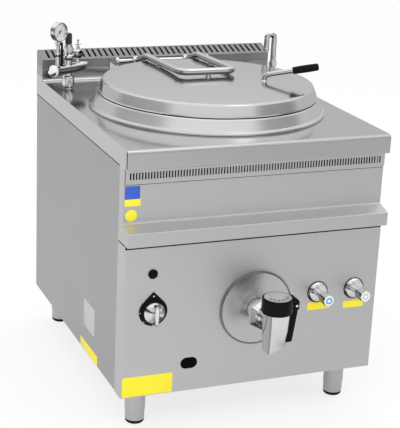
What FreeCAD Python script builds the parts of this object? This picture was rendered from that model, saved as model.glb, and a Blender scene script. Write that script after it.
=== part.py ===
import FreeCAD, Part
import math
import os

V = FreeCAD.Vector

# Driving dimensions, all in millimetres.
# X runs to the right, Y to the back, Z up; the floor is Z = 0.

# Sheet metal and gaps
top_sheet = 3.0
sheet = 2.0
seam = 1.0                   # visible joint between two neighbouring panels
bend = 4.0                   # outside bend radius of the thin folded sheet
flange = 20.0                # width of a folded-in stiffening flange
rest_gap = 0.3               # between two pieces that rest on or next to each other
running_gap = 0.06           # between a turning piece and its bearing

# Pan and jacket
pan_inner_radius = 300.0
pan_wall = 3.0
pan_depth = 470.0
pan_corner = 28.0
jacket_room = 42.0           # pan's wall to the jacket's outer face
jacket_wall = 3.0
jacket_top_drop = 18.0       # worktop's top to the jacket's top
jacket_gap = 34.0            # under the pan's floor
insulation = 25.0
insulation_clear = 4.0       # round a pipe that passes the insulation
side_room = 30.0             # insulation to the outside of a side panel
front_room = 62.0            # insulation to the front lip
rear_room = 60.0             # insulation to the rear upstand
chimney_depth = 68.0

# Heights of the front, from the floor up
panel_bottom = 118.0
side_bottom = 121.0
panel_height = 458.0
console_height = 40.0
upper_height = 127.0         # console's top edge to the ventilation band
vent_height = 47.0
skirt_height = 56.0

# Worktop
nose_radius = 11.0
lip_return = 42.0
upstand_height = 43.0
cove_radius = 10.0

# Chimney cap
cap_front_height = 27.0
cap_rear_height = 48.0
cap_slot_pitch = 19.7
cap_slot_width = 7.5
cap_slot_margin = 9.0        # slot's ends to the cap's front and rear faces
cap_slot_side = 25.0         # least room beside the last slot

# Front of the cabinet, as setbacks from the worktop's lip
vent_setback = 24.0
vent_slot_pitch = 8.6
vent_slot_width = 4.2
vent_slot_height = 20.0
vent_slot_drop = 13.0        # lip's lower edge to the top of the slots
vent_slot_side = 17.0        # least room beside the last slot
upper_setback = 30.0
console_reach = 20.0         # how far the console nose stands in front of the lip
shelf_rise = 15.0
lower_setback = 10.0
panel_return = 56.0          # depth of the lower panel's side returns

# Rear panel's louvres
louvre_x = 220.0
louvre_width = 60.0
louvre_height = 6.0
louvre_pitch = 16.0
louvre_rows = 7
louvre_rise = 89.0           # frame's top to the lowest louvre

# Base frame and feet
frame_height = 40.0
frame_sheet = 3.0
frame_leg = 34.0
beam_width = 44.0
beam_offset = 200.0          # of each pan beam from the pan's axis
post_width = 24.0
foot_inset = 74.0            # of a leg's axis from the cabinet's side
foot_front_setback = 92.0
foot_rear_setback = 50.0
leg_radius = 30.0
leg_wall = 2.5
leg_round = 3.0
leg_plate = 4.0
leg_plate_side = 96.0
shoe_radius = 28.0
shoe_height = 10.0
shoe_chamfer = 3.0
foot_stem_radius = 10.0
foot_stem_height = 62.0
foot_guide = 8.0

# Collar
collar_foot = 60.0           # pan's inner wall to the collar's foot
collar_rim = 37.0            # pan's inner wall to the top of the flank
collar_height = 43.0
collar_sheet = 2.0
bead_height = 8.0
cutout_rim = 38.0            # pan's inner wall to the worktop's hole

# Lid
lid_overlap = 33.0           # pan's inner wall to the lid's rim
lid_sheet = 1.5
lid_side = 36.0
lid_taper = 13.0
lid_shoulder = 9.0
lid_crown = 11.0
dome_edge_share = 0.9        # of the sheet, where the dome's inner face meets its edge
lid_lift = 3.0               # lid's lower edge above the collar
seal_offset = 4.0            # pan's inner wall to the seal
seal_width = 12.0
liner_dish = 9.0
liner_slope = 26.0

# Lid arm, hinge and lever
hinge_stand = 27.0           # hinge axis in front of the rear upstand
hinge_rise = 19.0            # hinge axis above the pan's rim
hinge_shaft_radius = 7.0
hinge_half_span = 158.0
bracket_width = 9.0
bracket_radius = 14.0
bracket_foot = 30.0
bracket_foot_sheet = 4.0
bracket_drop = 28.0
arm_radius = 10.0
arm_half_width = 88.0
arm_bend = 26.0
arm_lift = 20.0              # arm's front above the lid's crown
arm_fall = 16.0              # arm's knee below its front
arm_knee = 97.0              # hinge axis to the knee
knuckle_radius = 15.0
knuckle_length = 30.0
stud_radius = 6.0
stud_reach = 188.0           # lid's axis to the side studs
lever_radius = 7.5
lever_azimuth = -26.0
lever_foot_inset = 163.0     # lid's rim to the lever's foot
lever_foot_height = 20.0
lever_foot_sink = 2.0
lever_end_inset = 6.0        # lid's rim to the lever's end
lever_end_rise = 47.0        # lever's end above the lid's crown
lever_bend = 18.0
grip_radius = 12.0
grip_length = 76.0
grip_end = 4.0

# Burner and flue
burner_rise = 120.0          # frame's top to the burner
burner_radius = 150.0
burner_tube = 14.0
cross_tube = 11.0
port_radius = 3.0
port_count = 24
burner_post = 18.0
burner_bar = 6.0
skirt_rise = 70.0            # frame's top to the burner skirt
flue_half_width = 110.0
flue_drop = 46.0             # flue window's lower edge below the burner
flue_lift = 24.0             # flue window's upper edge above the burner
riser_half_width = 150.0
riser_drop = 14.0            # riser's floor below the flue window
riser_gap = 6.0
flue_sheet = 1.5
pilot_x = -70.0
pilot_head = 6.0
electrode_radius = 2.5
electrode_top = 24.0         # above the burner's axis
electrode_low = 22.0         # below the burner's axis
pilot_plate = 32.0

# Drain tap
drain_x = 6.0
drain_drop = 69.0            # pan's floor to the drain's axis
drain_pipe_radius = 30.0
drain_bore = 26.0
drain_elbow = 48.0
drain_edge = 68.0            # pan's wall to the outlet in its floor
drain_clear = 4.0
cover_radius = 112.0
cover_depth = 9.0
cover_round = 4.0
tap_throw = 140.0            # lower panel to the tap's upright axis
neck_radius = 24.0
neck_wall = 6.0
union_width = 78.0           # across the flats
union_length = 30.0
union_stand = 34.0
union_collar = 12.0
tap_radius = 31.0
tap_foot_radius = 25.0
tap_head = 41.0              # drain's axis to the top of the tap body
tap_leg = 76.0               # drain's axis to the lowest point of the mouth
tap_bore = 21.0
mouth_start = 12.0           # tap's axis to the start of the slanted mouth
mouth_rise = 20.0
plug_radius = 25.0
plug_leg = 32.0              # drain's axis to the plug's lower end
plug_wall = 6.0
plug_stem_radius = 10.0
plug_stem_rise = 8.0
plug_head_gap = 2.0
window_radius = 16.0
cap_radius = 45.0
cap_height = 45.0
cap_round = 4.0
disc_radius = 41.0
disc_height = 1.6
disc_proud = 0.6
ear_length = 18.0
ear_width = 26.0
ear_round = 6.0
ear_low = 3.0                # cap's lower edge to the ear
ear_top = 9.0                # ear's upper face below the cap's top
pin_radius = 3.0
pin_inset = 8.0
pin_rise = 14.0
lever_arm_width = 21.0
lever_arm_thick = 13.0
lever_arm_length = 112.0
lever_neck = 7.0
lever_lean = 14.0            # blade's end from the pin towards the spout
lever_shoulder = 26.0        # pin to where the blade has its full width
lever_slot_gap = 0.5

# Gas controls
knob_inset = 90.0            # from the cabinet's left side
knob_drop = 200.0            # from the panel's top edge
bezel_radius = 42.0
bezel_tip = 60.0
bezel_thick = 3.0
knob_skirt_radius = 37.0
knob_skirt_depth = 9.0
knob_skirt_rim = 4.0
knob_skirt_slope = 7.0
knob_core_radius = 25.0
knob_core_taper = 3.0
knob_core_depth = 9.0
knob_bar_width = 15.0
knob_bar_length = 52.0
knob_bar_depth = 16.0
knob_bar_round = 5.0
knob_bar_seat = 2.0
spindle_radius = 4.0
button_inset = 86.0
button_drop = 87.0
button_radius = 9.0
button_ring_radius = 14.0
button_ring_depth = 4.0
button_proud = 7.0
button_tail = 20.0
button_barrel = 42.0
barrel_floor = 6.0
view_inset = 205.0
view_rise = 86.0             # panel's lower edge to the viewing hole's middle
view_width = 52.0
view_tall = 35.0
gas_valve_half = 26.0
gas_valve_depth = 44.0
gas_valve_low = 34.0
gas_valve_high = 30.0
gas_valve_round = 6.0
magnet_radius = 14.0
magnet_length = 30.0
magnet_drop = 6.0
gas_pipe_radius = 7.0
gas_pipe_bend = 12.0
gas_run_rise = 30.0          # frame's top to the gas pipes
gas_entry_drop = 60.0        # supply pipe's cross run below the knob's axis
feed_offset = 60.0           # feed pipe's end in front of the burner's axis
inlet_radius = 10.5
inlet_inset = 60.0
inlet_stand = 82.0           # inlets in front of the rear upstand
inlet_end = 92.0
inlet_overlap = 14.0

# Water controls and filling spout
tap_left_inset = 196.0       # from the cabinet's right side
tap_right_inset = 76.0
water_drop = 195.0
escutcheon_radius = 31.0
escutcheon_depth = 9.0
escutcheon_rim = 2.0
escutcheon_slope = 8.0
tap_sleeve_radius = 11.0
tap_sleeve_length = 29.0
tap_knob_radius = 17.0
tap_knob_end = 75.0
tap_knob_gap = 0.5
tap_knob_shoulder = 8.0
tap_spindle_end = 14.0
flute_count = 8
flute_radius = 4.0
flute_stand = 2.5
valve_body_radius = 17.0
valve_body_length = 46.0
valve_cross_radius = 12.0
valve_cross_half = 30.0
valve_cross_depth = 24.0
water_pipe_radius = 7.5
water_pipe_bend = 16.0
water_run_rise = 15.0        # frame's top to the water pipes
water_branch_rise = 60.0
fill_rise = 92.0             # water taps to the jacket's filling point
riser_low = 60.0             # riser's cross run below the console's top edge
riser_clear = 6.0
riser_jog = 30.0
spout_inset = 34.0
spout_stand = 112.0          # spout in front of the rear upstand
spout_radius = 9.0
spout_bore = 7.0
spout_joint_rise = 55.0      # worktop to the spout's joint
spout_rise = 107.0           # joint to the top of the bend
spout_drop = 64.0            # top of the bend to the mouth
spout_hook = 13.5
bend_slack = 0.01            # keeps a short straight run between the hook's two bends
spout_nut_width = 25.0
spout_nut_height = 17.0
spout_flange_radius = 17.0
spout_flange_height = 3.0
spout_flare = 8.0

# Safety group of the steam jacket
safety_inset = 52.5
safety_stand = 115.0
safety_turn = 26.0
safety_axis_rise = 63.0
manifold_radius = 17.0
manifold_left = 66.0
manifold_right = 82.0
manifold_cap = 10.0
manifold_straight = 0.72     # share of the manifold that isn't tapered
manifold_shoulder = 0.9
manifold_tip = 3.0
safety_foot_radius = 13.0
safety_foot_height = 5.0
safety_neck_radius = 12.0
safety_nut_width = 36.0
safety_nut_rise = 39.0
safety_pipe_drop = 30.0      # jacket's top to the pipe's run
safety_pipe_bend = 14.0
safety_pipe_sink = 10.0
gauge_gap = 4.0              # gauge case to the safety valve's cap
gauge_rise = 122.0
gauge_radius = 30.5
gauge_depth = 22.0
gauge_rim = 3.0
gauge_face_depth = 8.0
gauge_turn = 33.0
gauge_stem = 8.0
gauge_nut_width = 19.0
gauge_nut_height = 11.0
gauge_neck_radius = 5.0
gauge_neck = 4.0
gauge_cock_drop = 40.0
gauge_cock_reach = 22.0
glass_sheet = 1.5
needle_zero = 225.0
needle_sheet = 1.2
needle_tail = 8.0
needle_half_width = 1.6
hub_radius = 3.5
hub_height = 2.0
gauge_stem_share = 0.4       # part of the case's depth that lies behind its stem
valve_radius = 13.0
valve_band_radius = 18.0
valve_band_low = 38.0        # manifold's axis to the band
valve_band_height = 11.0
valve_hexagon_width = 27.0
valve_hexagon_height = 30.0
valve_cap_radius = 9.5
valve_rise = 114.0
valve_rib_count = 10
valve_rib_radius = 2.0
valve_rib_stand = 1.2
cock_offset = 40.0
cock_radius = 15.0
cock_depth = 22.0
cock_recess = 6.0
cock_rise = 44.0
cock_stem_radius = 7.0
cock_boss_radius = 6.0
cock_boss_rise = 8.0
cock_pin_rise = 47.0
cock_pin_radius = 2.5
cock_ball_radius = 4.0
cock_bar_half = 9.0
cock_bar_rise = 14.0
cock_bar_radius = 2.2

# Places worked out from the dimensions

jacket_radius = pan_inner_radius + pan_wall + jacket_room
sleeve_radius = jacket_radius + insulation
collar_radius = pan_inner_radius + collar_foot
collar_top_radius = pan_inner_radius + collar_rim
cutout_radius = pan_inner_radius + cutout_rim
lid_radius = pan_inner_radius + lid_overlap
seal_inner = pan_inner_radius + seal_offset
seal_outer = seal_inner + seal_width
half_width = sleeve_radius + side_room
cabinet_width = 2 * half_width
pan_setback = sleeve_radius + front_room
upstand_setback = pan_setback + sleeve_radius + rear_room
cabinet_depth = upstand_setback + chimney_depth

tap_reach = tap_throw + cap_radius - lower_setback
lip_y = tap_reach - (cabinet_depth + tap_reach) / 2
rear_y = lip_y + cabinet_depth
upstand_y = lip_y + upstand_setback
vent_y = lip_y + vent_setback
upper_y = lip_y + upper_setback
console_y = lip_y - console_reach
lower_y = lip_y + lower_setback
side_front_y = lower_y + panel_return
pan_y = lip_y + pan_setback
hinge_y = upstand_y - hinge_stand
tap_y = lower_y - tap_throw
drain_well_y = pan_y - (pan_inner_radius - drain_edge)
spout_y = upstand_y - spout_stand
safety_y = upstand_y - safety_stand
inlet_y = upstand_y - inlet_stand

lower_top = panel_bottom + panel_height
console_bottom = lower_top + 2 * seam + sheet
console_top = console_bottom + console_height
vent_bottom = console_top + upper_height
skirt_bottom = vent_bottom + vent_height
worktop_height = skirt_bottom + skirt_height
upstand_top = worktop_height + upstand_height
side_top = skirt_bottom - seam
frame_bottom = side_bottom
frame_top = frame_bottom + frame_height
pan_top = worktop_height + collar_height
pan_floor = pan_top - pan_depth
jacket_top = worktop_height - jacket_top_drop
jacket_floor = pan_floor - pan_wall - jacket_gap
skirt_low = frame_top + skirt_rise
burner_height = frame_top + burner_rise
lid_low = pan_top + lid_lift
lid_edge = lid_low + lid_side
lid_top = lid_edge + lid_crown
hinge_height = pan_top + hinge_rise
arm_front_height = lid_top + arm_lift
arm_rear_height = arm_front_height - arm_fall
drain_height = pan_floor - drain_drop
tap_top = drain_height + tap_head
tap_bottom = drain_height - tap_leg
plug_bottom = drain_height - plug_leg
spout_joint = worktop_height + spout_joint_rise
spout_top = spout_joint + spout_rise
spout_mouth = spout_top - spout_drop
safety_axis_height = worktop_height + safety_axis_rise
safety_nut_top = worktop_height + safety_nut_rise
gauge_height = safety_axis_height + gauge_rise
valve_top = safety_axis_height + valve_rise
cock_height = safety_axis_height + cock_rise
cock_pin_top = cock_height + cock_pin_rise

knob_x = -half_width + knob_inset
knob_height = lower_top - knob_drop
button_x = -half_width + button_inset
button_height = lower_top - button_drop
view_x = -half_width + view_inset
view_height = panel_bottom + view_rise
gas_inlet_x = -half_width + inlet_inset
tap_left_x = half_width - tap_left_inset
tap_right_x = half_width - tap_right_inset
water_height = lower_top - water_drop
water_run_height = frame_top + water_run_rise
fill_height = water_height + fill_rise
spout_x = half_width - spout_inset
safety_x = -half_width + safety_inset
gauge_offset = -(gauge_radius + valve_cap_radius + gauge_gap)

foot_front_y = lip_y + foot_front_setback
foot_rear_y = rear_y - foot_rear_setback
foot_places = [
    (name, sx * (half_width - foot_inset), y)
    for name, sx, y in (
        ("front_left", -1, foot_front_y),
        ("front_right", 1, foot_front_y),
        ("rear_left", -1, foot_rear_y),
        ("rear_right", 1, foot_rear_y),
    )
]

parts = {}


# Geometry helpers

def box(low, high):
    """Block between two corners."""
    size = [b - a for a, b in zip(low, high)]
    return Part.makeBox(size[0], size[1], size[2], V(*low))


def rod(start, end, radius):
    """Round bar between two points."""
    start, end = V(*start), V(*end)
    return Part.makeCylinder(radius, (end - start).Length, start, end - start)


def fuse(shapes):
    """One solid from touching shapes, with its seams removed."""
    shapes = list(shapes)
    return shapes[0].fuse(shapes[1:]).removeSplitter()


def rounded_path(points, radii):
    """Edges along a polyline whose inner corners are rounded by arcs."""
    points = [V(*p) for p in points]
    edges = []
    here = points[0]
    for index in range(1, len(points) - 1):
        corner, radius = points[index], radii[index - 1]
        back = (points[index - 1] - corner).normalize()
        ahead = (points[index + 1] - corner).normalize()
        half = back.getAngle(ahead) / 2
        if radius <= 0 or half > math.pi / 2 - 1e-6:
            edges.append(Part.LineSegment(here, corner).toShape())
            here = corner
            continue
        reach = radius / math.tan(half)
        start, end = corner + back * reach, corner + ahead * reach
        middle_way = (back + ahead).normalize()
        centre = corner + middle_way * (radius / math.sin(half))
        middle = centre - middle_way * radius
        if (start - here).Length > 1e-6:
            edges.append(Part.LineSegment(here, start).toShape())
        edges.append(Part.Arc(start, middle, end).toShape())
        here = end
    edges.append(Part.LineSegment(here, points[-1]).toShape())
    return edges


def offset_polyline(points, distance):
    """Plane polyline moved sideways to its left by a distance."""
    moved = []
    ways = []
    for a, b in zip(points, points[1:]):
        length = math.hypot(b[0] - a[0], b[1] - a[1])
        ways.append(((b[0] - a[0]) / length, (b[1] - a[1]) / length))
    for index, (u, w) in enumerate(points):
        first = ways[max(index - 1, 0)]
        second = ways[min(index, len(ways) - 1)]
        normal = (-(first[1] + second[1]), first[0] + second[0])
        scale = distance / (normal[0] * -first[1] + normal[1] * first[0])
        moved.append((u + normal[0] * scale, w + normal[1] * scale))
    return moved


def turn_sides(points):
    """Plus one where the polyline turns left, minus one where it turns right."""
    sides = []
    for a, b, c in zip(points, points[1:], points[2:]):
        cross = (b[0] - a[0]) * (c[1] - b[1]) - (b[1] - a[1]) * (c[0] - b[0])
        sides.append(1 if cross > 0 else -1)
    return sides


def folded_sheet(points, radii, thickness, place, run):
    """Folded sheet: a plane polyline of the outer face, thickened to its left and swept along run."""
    inner = offset_polyline(points, thickness)
    inner_radii = [r - thickness * side for r, side in zip(radii, turn_sides(points))]
    outer_edges = rounded_path([place(*p) for p in points], radii)
    inner_edges = rounded_path([place(*p) for p in inner], inner_radii)
    first_cap = Part.LineSegment(V(*place(*points[0])), V(*place(*inner[0]))).toShape()
    last_cap = Part.LineSegment(V(*place(*points[-1])), V(*place(*inner[-1]))).toShape()
    loops = Part.sortEdges(outer_edges + inner_edges + [first_cap, last_cap])
    return Part.Face(Part.Wire(loops[0])).extrude(V(*run))


def outline_plate(edges, run):
    """Flat plate from a closed outline."""
    return Part.Face(Part.Wire(Part.sortEdges(edges)[0])).extrude(V(*run))


def straight_edges(points):
    """Straight edges from point to point."""
    return [Part.LineSegment(V(*a), V(*b)).toShape() for a, b in zip(points, points[1:])]


def closed_outline(points, radii):
    """Closed polyline whose corners are rounded; it starts half way along its last side."""
    first, last = V(*points[0]), V(*points[-1])
    middle = (first + last) * 0.5
    start = (middle.x, middle.y, middle.z)
    return rounded_path([start] + list(points) + [start], radii)


def turned(profile, centre, axis, radii=None):
    """Body of revolution from a closed (radius, height) profile about an upright axis, then tipped."""
    radii = radii or [0.0] * len(profile)
    points = [(r, 0.0, h) for r, h in profile]
    face = Part.Face(Part.Wire(Part.sortEdges(closed_outline(points, radii))[0]))
    solid = face.revolve(V(0, 0, 0), V(0, 0, 1), 360)
    if solid.Volume < 0:
        solid.reverse()
    turn = FreeCAD.Rotation(V(0, 0, 1), V(*axis))
    solid.Placement = FreeCAD.Placement(V(*centre), turn)
    return solid


def bent_rod(points, radius, bend_radius):
    """Round bar swept along straight runs joined by tangent arcs."""
    radii = [bend_radius] * (len(points) - 2)
    path = Part.Wire(rounded_path(points, radii))
    start, second = V(*points[0]), V(*points[1])
    ring = Part.Wire(Part.makeCircle(radius, start, second - start))
    return path.makePipeShell([ring], True, False)


def hex_bar(centre, width, length, axis):
    """Hexagon bar of a width across flats, with chamfered corners."""
    corner = width / math.sqrt(3)
    points = [V(corner * math.cos(k * math.pi / 3), corner * math.sin(k * math.pi / 3), 0)
              for k in range(7)]
    bar = Part.Face(Part.makePolygon(points)).extrude(V(0, 0, length))
    slope = corner - width / 2
    turning = turned(
        [(0, 0), (width / 2, 0), (corner, slope), (corner, length - slope),
         (width / 2, length), (0, length)],
        (0, 0, 0), (0, 0, 1))
    bar = bar.common(turning)
    turn = FreeCAD.Rotation(V(0, 0, 1), V(*axis))
    bar.Placement = FreeCAD.Placement(V(*centre), turn)
    return bar


def oblong(centre, width, height, depth):
    """Upright oblong bar along Y for a round-ended hole."""
    x, y, z = centre
    r = height / 2
    span = width / 2 - r
    core = box((x - span, y, z - r), (x + span, y + depth, z + r))
    ends = [rod((x + s * span, y, z), (x + s * span, y + depth, z), r) for s in (-1, 1)]
    return core.fuse(ends)


def on_section(x):
    """Places a (y, z) point of a cross-section at one x."""
    return lambda y, z: (x, y, z)


def on_plan(z):
    """Places an (x, y) point of a plan outline at one height."""
    return lambda x, y: (x, y, z)


def mirror_x(shape):
    """The same shape on the other side of the cabinet."""
    return shape.mirror(V(0, 0, 0), V(1, 0, 0))


# Cabinet

def worktop():
    """Top plate, lip, skirts and rear upstand in one folded and welded sheet."""
    section = [
        (lip_y + lip_return, skirt_bottom),
        (lip_y, skirt_bottom),
        (lip_y, worktop_height),
        (upstand_y, worktop_height),
        (upstand_y, upstand_top),
        (upstand_y + flange, upstand_top),
    ]
    bends = [bend, nose_radius, cove_radius, bend]
    section = section[::-1]
    sheet_body = folded_sheet(section, bends[::-1], top_sheet, on_section(-half_width),
                              (cabinet_width, 0, 0))
    side = box((-half_width, lip_y + nose_radius, skirt_bottom),
               (-half_width + top_sheet, rear_y, worktop_height - top_sheet))
    cheek = box((-half_width, upstand_y + top_sheet, worktop_height - top_sheet),
                (-half_width + top_sheet, rear_y, upstand_top))
    back = box((-half_width, rear_y - top_sheet, skirt_bottom), (half_width, rear_y, upstand_top))
    body = fuse([sheet_body, side, mirror_x(side), cheek, mirror_x(cheek), back])
    hole = rod((0, pan_y, skirt_bottom), (0, pan_y, upstand_top), cutout_radius)
    safety_hole = rod((safety_x, safety_y, skirt_bottom), (safety_x, safety_y, upstand_top), gauge_stem)
    spout_hole = rod((spout_x, spout_y, skirt_bottom), (spout_x, spout_y, upstand_top),
                     water_pipe_radius)
    return body.cut([hole, safety_hole, spout_hole])


def side_panel():
    """Left side panel with folded front and rear flanges."""
    outline = [
        (-half_width + flange, side_front_y + seam),
        (-half_width, side_front_y + seam),
        (-half_width, rear_y),
        (-half_width + flange, rear_y),
    ]
    outline = outline[::-1]
    return folded_sheet(outline, [bend, bend], sheet, on_plan(side_bottom), (0, 0, side_top - side_bottom))


def rear_panel():
    """Flat rear panel inside the side panels' flanges, with two columns of louvre slots."""
    y = rear_y - 2 * sheet
    half = half_width - bend - rest_gap
    panel = box((-half, y, frame_top), (half, y + sheet, side_top))
    slots = []
    for x in (-louvre_x, louvre_x):
        for row in range(louvre_rows):
            z = frame_top + louvre_rise + row * louvre_pitch
            slots.append(box((x - louvre_width / 2, y - seam, z),
                             (x + louvre_width / 2, y + sheet + seam, z + louvre_height)))
    return panel.cut(slots)


def slot_places(side, pitch):
    """Middle of each slot in a centred row that leaves at least some room at both sides."""
    count = int((cabinet_width - 2 * side) / pitch) + 1
    return [(index - (count - 1) / 2) * pitch for index in range(count)]


def vent_panel():
    """Narrow ventilation band under the lip, with its row of upright slots."""
    section = [
        (upper_y, vent_bottom),
        (vent_y, vent_bottom),
        (vent_y, skirt_bottom),
        (vent_y + flange, skirt_bottom),
    ]
    section = section[::-1]
    width = cabinet_width - 2 * (sheet + seam)
    band = folded_sheet(section, [bend, sheet + rest_gap], sheet, on_section(-width / 2), (width, 0, 0))
    slot_top = skirt_bottom - vent_slot_drop
    slots = []
    for x in slot_places(vent_slot_side, vent_slot_pitch):
        slots.append(box((x - vent_slot_width / 2, vent_y - seam, slot_top - vent_slot_height),
                         (x + vent_slot_width / 2, vent_y + sheet + seam, slot_top)))
    return band.cut(slots)


def console_section():
    """Outer face of the upper panel, sloping shelf and console nose."""
    points = [
        (upper_y, vent_bottom + sheet + bend),
        (upper_y, console_top + shelf_rise),
        (console_y, console_top),
        (console_y, console_bottom),
        (side_front_y - flange, console_bottom),
    ]
    return points, [2 * bend, bend + seam, bend]


def console_panel():
    """Upper front panel that folds out into the console nose, with closed ends."""
    points, bends = console_section()
    body = folded_sheet(points, bends, sheet, on_section(-half_width), (cabinet_width, 0, 0))
    corner_y = side_front_y
    place = on_section(-half_width)
    edges = rounded_path([place(*p) for p in points], bends)
    tail = [points[-1], (corner_y, console_bottom), (corner_y, skirt_bottom),
            (vent_y + sheet, skirt_bottom), (vent_y + sheet, points[0][1]), points[0]]
    edges += straight_edges([place(*p) for p in tail])
    cheek = outline_plate(edges, (sheet, 0, 0))
    return fuse([body, cheek, mirror_x(cheek)])


def lower_front_panel():
    """Lower front panel with side returns and the holes of all controls."""
    outline = [
        (half_width, side_front_y),
        (half_width, lower_y),
        (-half_width, lower_y),
        (-half_width, side_front_y),
    ]
    outline = outline[::-1]
    body = folded_sheet(outline, [bend, bend], sheet, on_plan(panel_bottom), (0, 0, panel_height))
    shelf_back = lower_y + sheet + flange
    ledge = box((-half_width + sheet, lower_y + sheet, panel_bottom),
                (half_width - sheet, shelf_back, panel_bottom + sheet))
    top = box((-half_width + sheet, lower_y + sheet, lower_top - sheet),
              (half_width - sheet, shelf_back, lower_top))
    body = fuse([body, ledge, top])

    def hole(x, z, radius):
        return rod((x, lower_y - seam, z), (x, lower_y + sheet + seam, z), radius)

    holes = [
        hole(drain_x, drain_height, drain_pipe_radius + seam),
        hole(knob_x, knob_height, spindle_radius + seam),
        hole(button_x, button_height, button_radius + sheet),
        hole(tap_left_x, water_height, tap_sleeve_radius),
        hole(tap_right_x, water_height, tap_sleeve_radius),
        oblong((view_x, lower_y - seam, view_height), view_width, view_tall, sheet + 2 * seam),
    ]
    return body.cut(holes)


def chimney_cap():
    """Sloping slotted cap over the flue."""
    front_top = upstand_top + cap_front_height
    rear_top = upstand_top + cap_rear_height
    low = upstand_top
    section = [
        (rear_y, low),
        (rear_y, rear_top),
        (upstand_y, front_top),
        (upstand_y, low),
    ]
    radii = [bend, bend]
    cap = folded_sheet(section, radii, sheet, on_section(-half_width), (cabinet_width, 0, 0))
    place = on_section(-half_width)
    edges = rounded_path([place(*p) for p in section], radii)
    edges.append(Part.LineSegment(V(*place(*section[-1])), V(*place(*section[0]))).toShape())
    cheek = outline_plate(edges, (sheet, 0, 0))
    cap = fuse([cap, cheek, mirror_x(cheek)])
    slots = []
    for x in slot_places(cap_slot_side, cap_slot_pitch):
        slots.append(box((x - cap_slot_width / 2, upstand_y + cap_slot_margin, front_top - 3 * sheet),
                         (x + cap_slot_width / 2, rear_y - cap_slot_margin, rear_top + sheet)))
    return cap.cut(slots)


def base_frame():
    """Welded floor frame: angle border, two pan beams with posts and four foot plates."""
    x_out = half_width - sheet
    y_front = lower_y + sheet + seam
    y_back = rear_y - 2 * sheet
    wall = frame_sheet
    pieces = [
        box((-x_out, y_front, frame_bottom), (x_out, y_front + frame_leg, frame_bottom + wall)),
        box((-x_out, y_back - frame_leg, frame_bottom), (x_out, y_back, frame_bottom + wall)),
        box((-x_out, y_back - wall, frame_bottom), (x_out, y_back, frame_top)),
        box((-x_out + panel_return, y_front, frame_bottom),
            (x_out - panel_return, y_front + wall, frame_top)),
        box((-x_out, y_front, frame_bottom), (-x_out + frame_leg, y_back, frame_bottom + wall)),
        box((x_out - frame_leg, y_front, frame_bottom), (x_out, y_back, frame_bottom + wall)),
        box((-x_out, side_front_y + flange, frame_bottom), (-x_out + wall, y_back - flange, frame_top)),
        box((x_out - wall, side_front_y + flange, frame_bottom), (x_out, y_back - flange, frame_top)),
    ]
    for offset in (-beam_offset, beam_offset):
        y = pan_y + offset - beam_width / 2
        pieces.append(box((-x_out + wall, y, frame_top - wall), (x_out - wall, y + beam_width, frame_top)))
        pieces.append(box((-x_out + wall, y, frame_bottom), (x_out - wall, y + wall, frame_top)))
        pieces.append(box((-x_out + wall, y + beam_width - wall, frame_bottom),
                          (x_out - wall, y + beam_width, frame_top)))
        reach = math.sqrt((jacket_radius - jacket_wall / 2) ** 2 - offset ** 2)
        for side in (-1, 1):
            x = side * reach
            middle = y + beam_width / 2
            pieces.append(box((x - post_width / 2, middle - post_width / 2, frame_top - wall),
                              (x + post_width / 2, middle + post_width / 2, skirt_low)))
    for name, x, y in foot_places:
        side = 1 if x > 0 else -1
        inner = side * (abs(x) - leg_plate_side / 2)
        low_x, high_x = sorted((inner, side * x_out))
        front = y_front if y < pan_y else y - leg_plate_side / 2
        back = y + leg_plate_side / 2 if y < pan_y else y_back
        pieces.append(box((low_x, front, frame_bottom), (high_x, back, frame_bottom + leg_plate)))
    flange_front = side_front_y + seam
    notch = box((-half_width, flange_front - rest_gap, frame_bottom - seam),
                (-half_width + flange + rest_gap, flange_front + sheet + bend, frame_top))
    return fuse(pieces).cut([notch, mirror_x(notch)])


def foot_legs():
    """Four round legs with their guide rings and top plates."""
    solids = []
    for name, x, y in foot_places:
        low = shoe_height + rest_gap
        tube = rod((x, y, low), (x, y, frame_bottom), leg_radius)
        rim = [e for e in tube.Edges if abs(e.BoundBox.ZMax - low) < 1e-3 and len(e.Vertexes) == 1]
        tube = tube.makeFillet(leg_round, rim)
        bore = rod((x, y, low + foot_guide), (x, y, frame_bottom - leg_plate), leg_radius - leg_wall)
        hole = rod((x, y, low), (x, y, low + foot_guide), foot_stem_radius + running_gap)
        solids.append(tube.cut([bore, hole]))
    return Part.makeCompound(solids)


def levelling_foot(x, y):
    """Black shoe on a threaded stem that screws in the leg."""
    shoe = turned(
        [(0, 0), (shoe_radius - shoe_chamfer, 0), (shoe_radius, shoe_chamfer),
         (shoe_radius, shoe_height), (foot_stem_radius, shoe_height),
         (foot_stem_radius, foot_stem_height), (0, foot_stem_height)],
        (x, y, 0), (0, 0, 1))
    return shoe


# Pan, jacket and burner

def pan_vessel():
    """Cylindrical pan with a rounded floor edge and the outlet hole."""
    outer = pan_inner_radius + pan_wall
    low = pan_floor - pan_wall
    profile = [(0, low), (outer, low), (outer, pan_top), (pan_inner_radius, pan_top),
               (pan_inner_radius, pan_floor), (0, pan_floor)]
    pan = turned(profile, (0, pan_y, 0), (0, 0, 1),
                 [0, pan_corner, 0, 0, pan_corner - pan_wall, 0])
    outlet = rod((drain_x, drain_well_y, low - seam), (drain_x, drain_well_y, pan_floor + seam),
                 drain_bore)
    return pan.cut(outlet)


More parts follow.
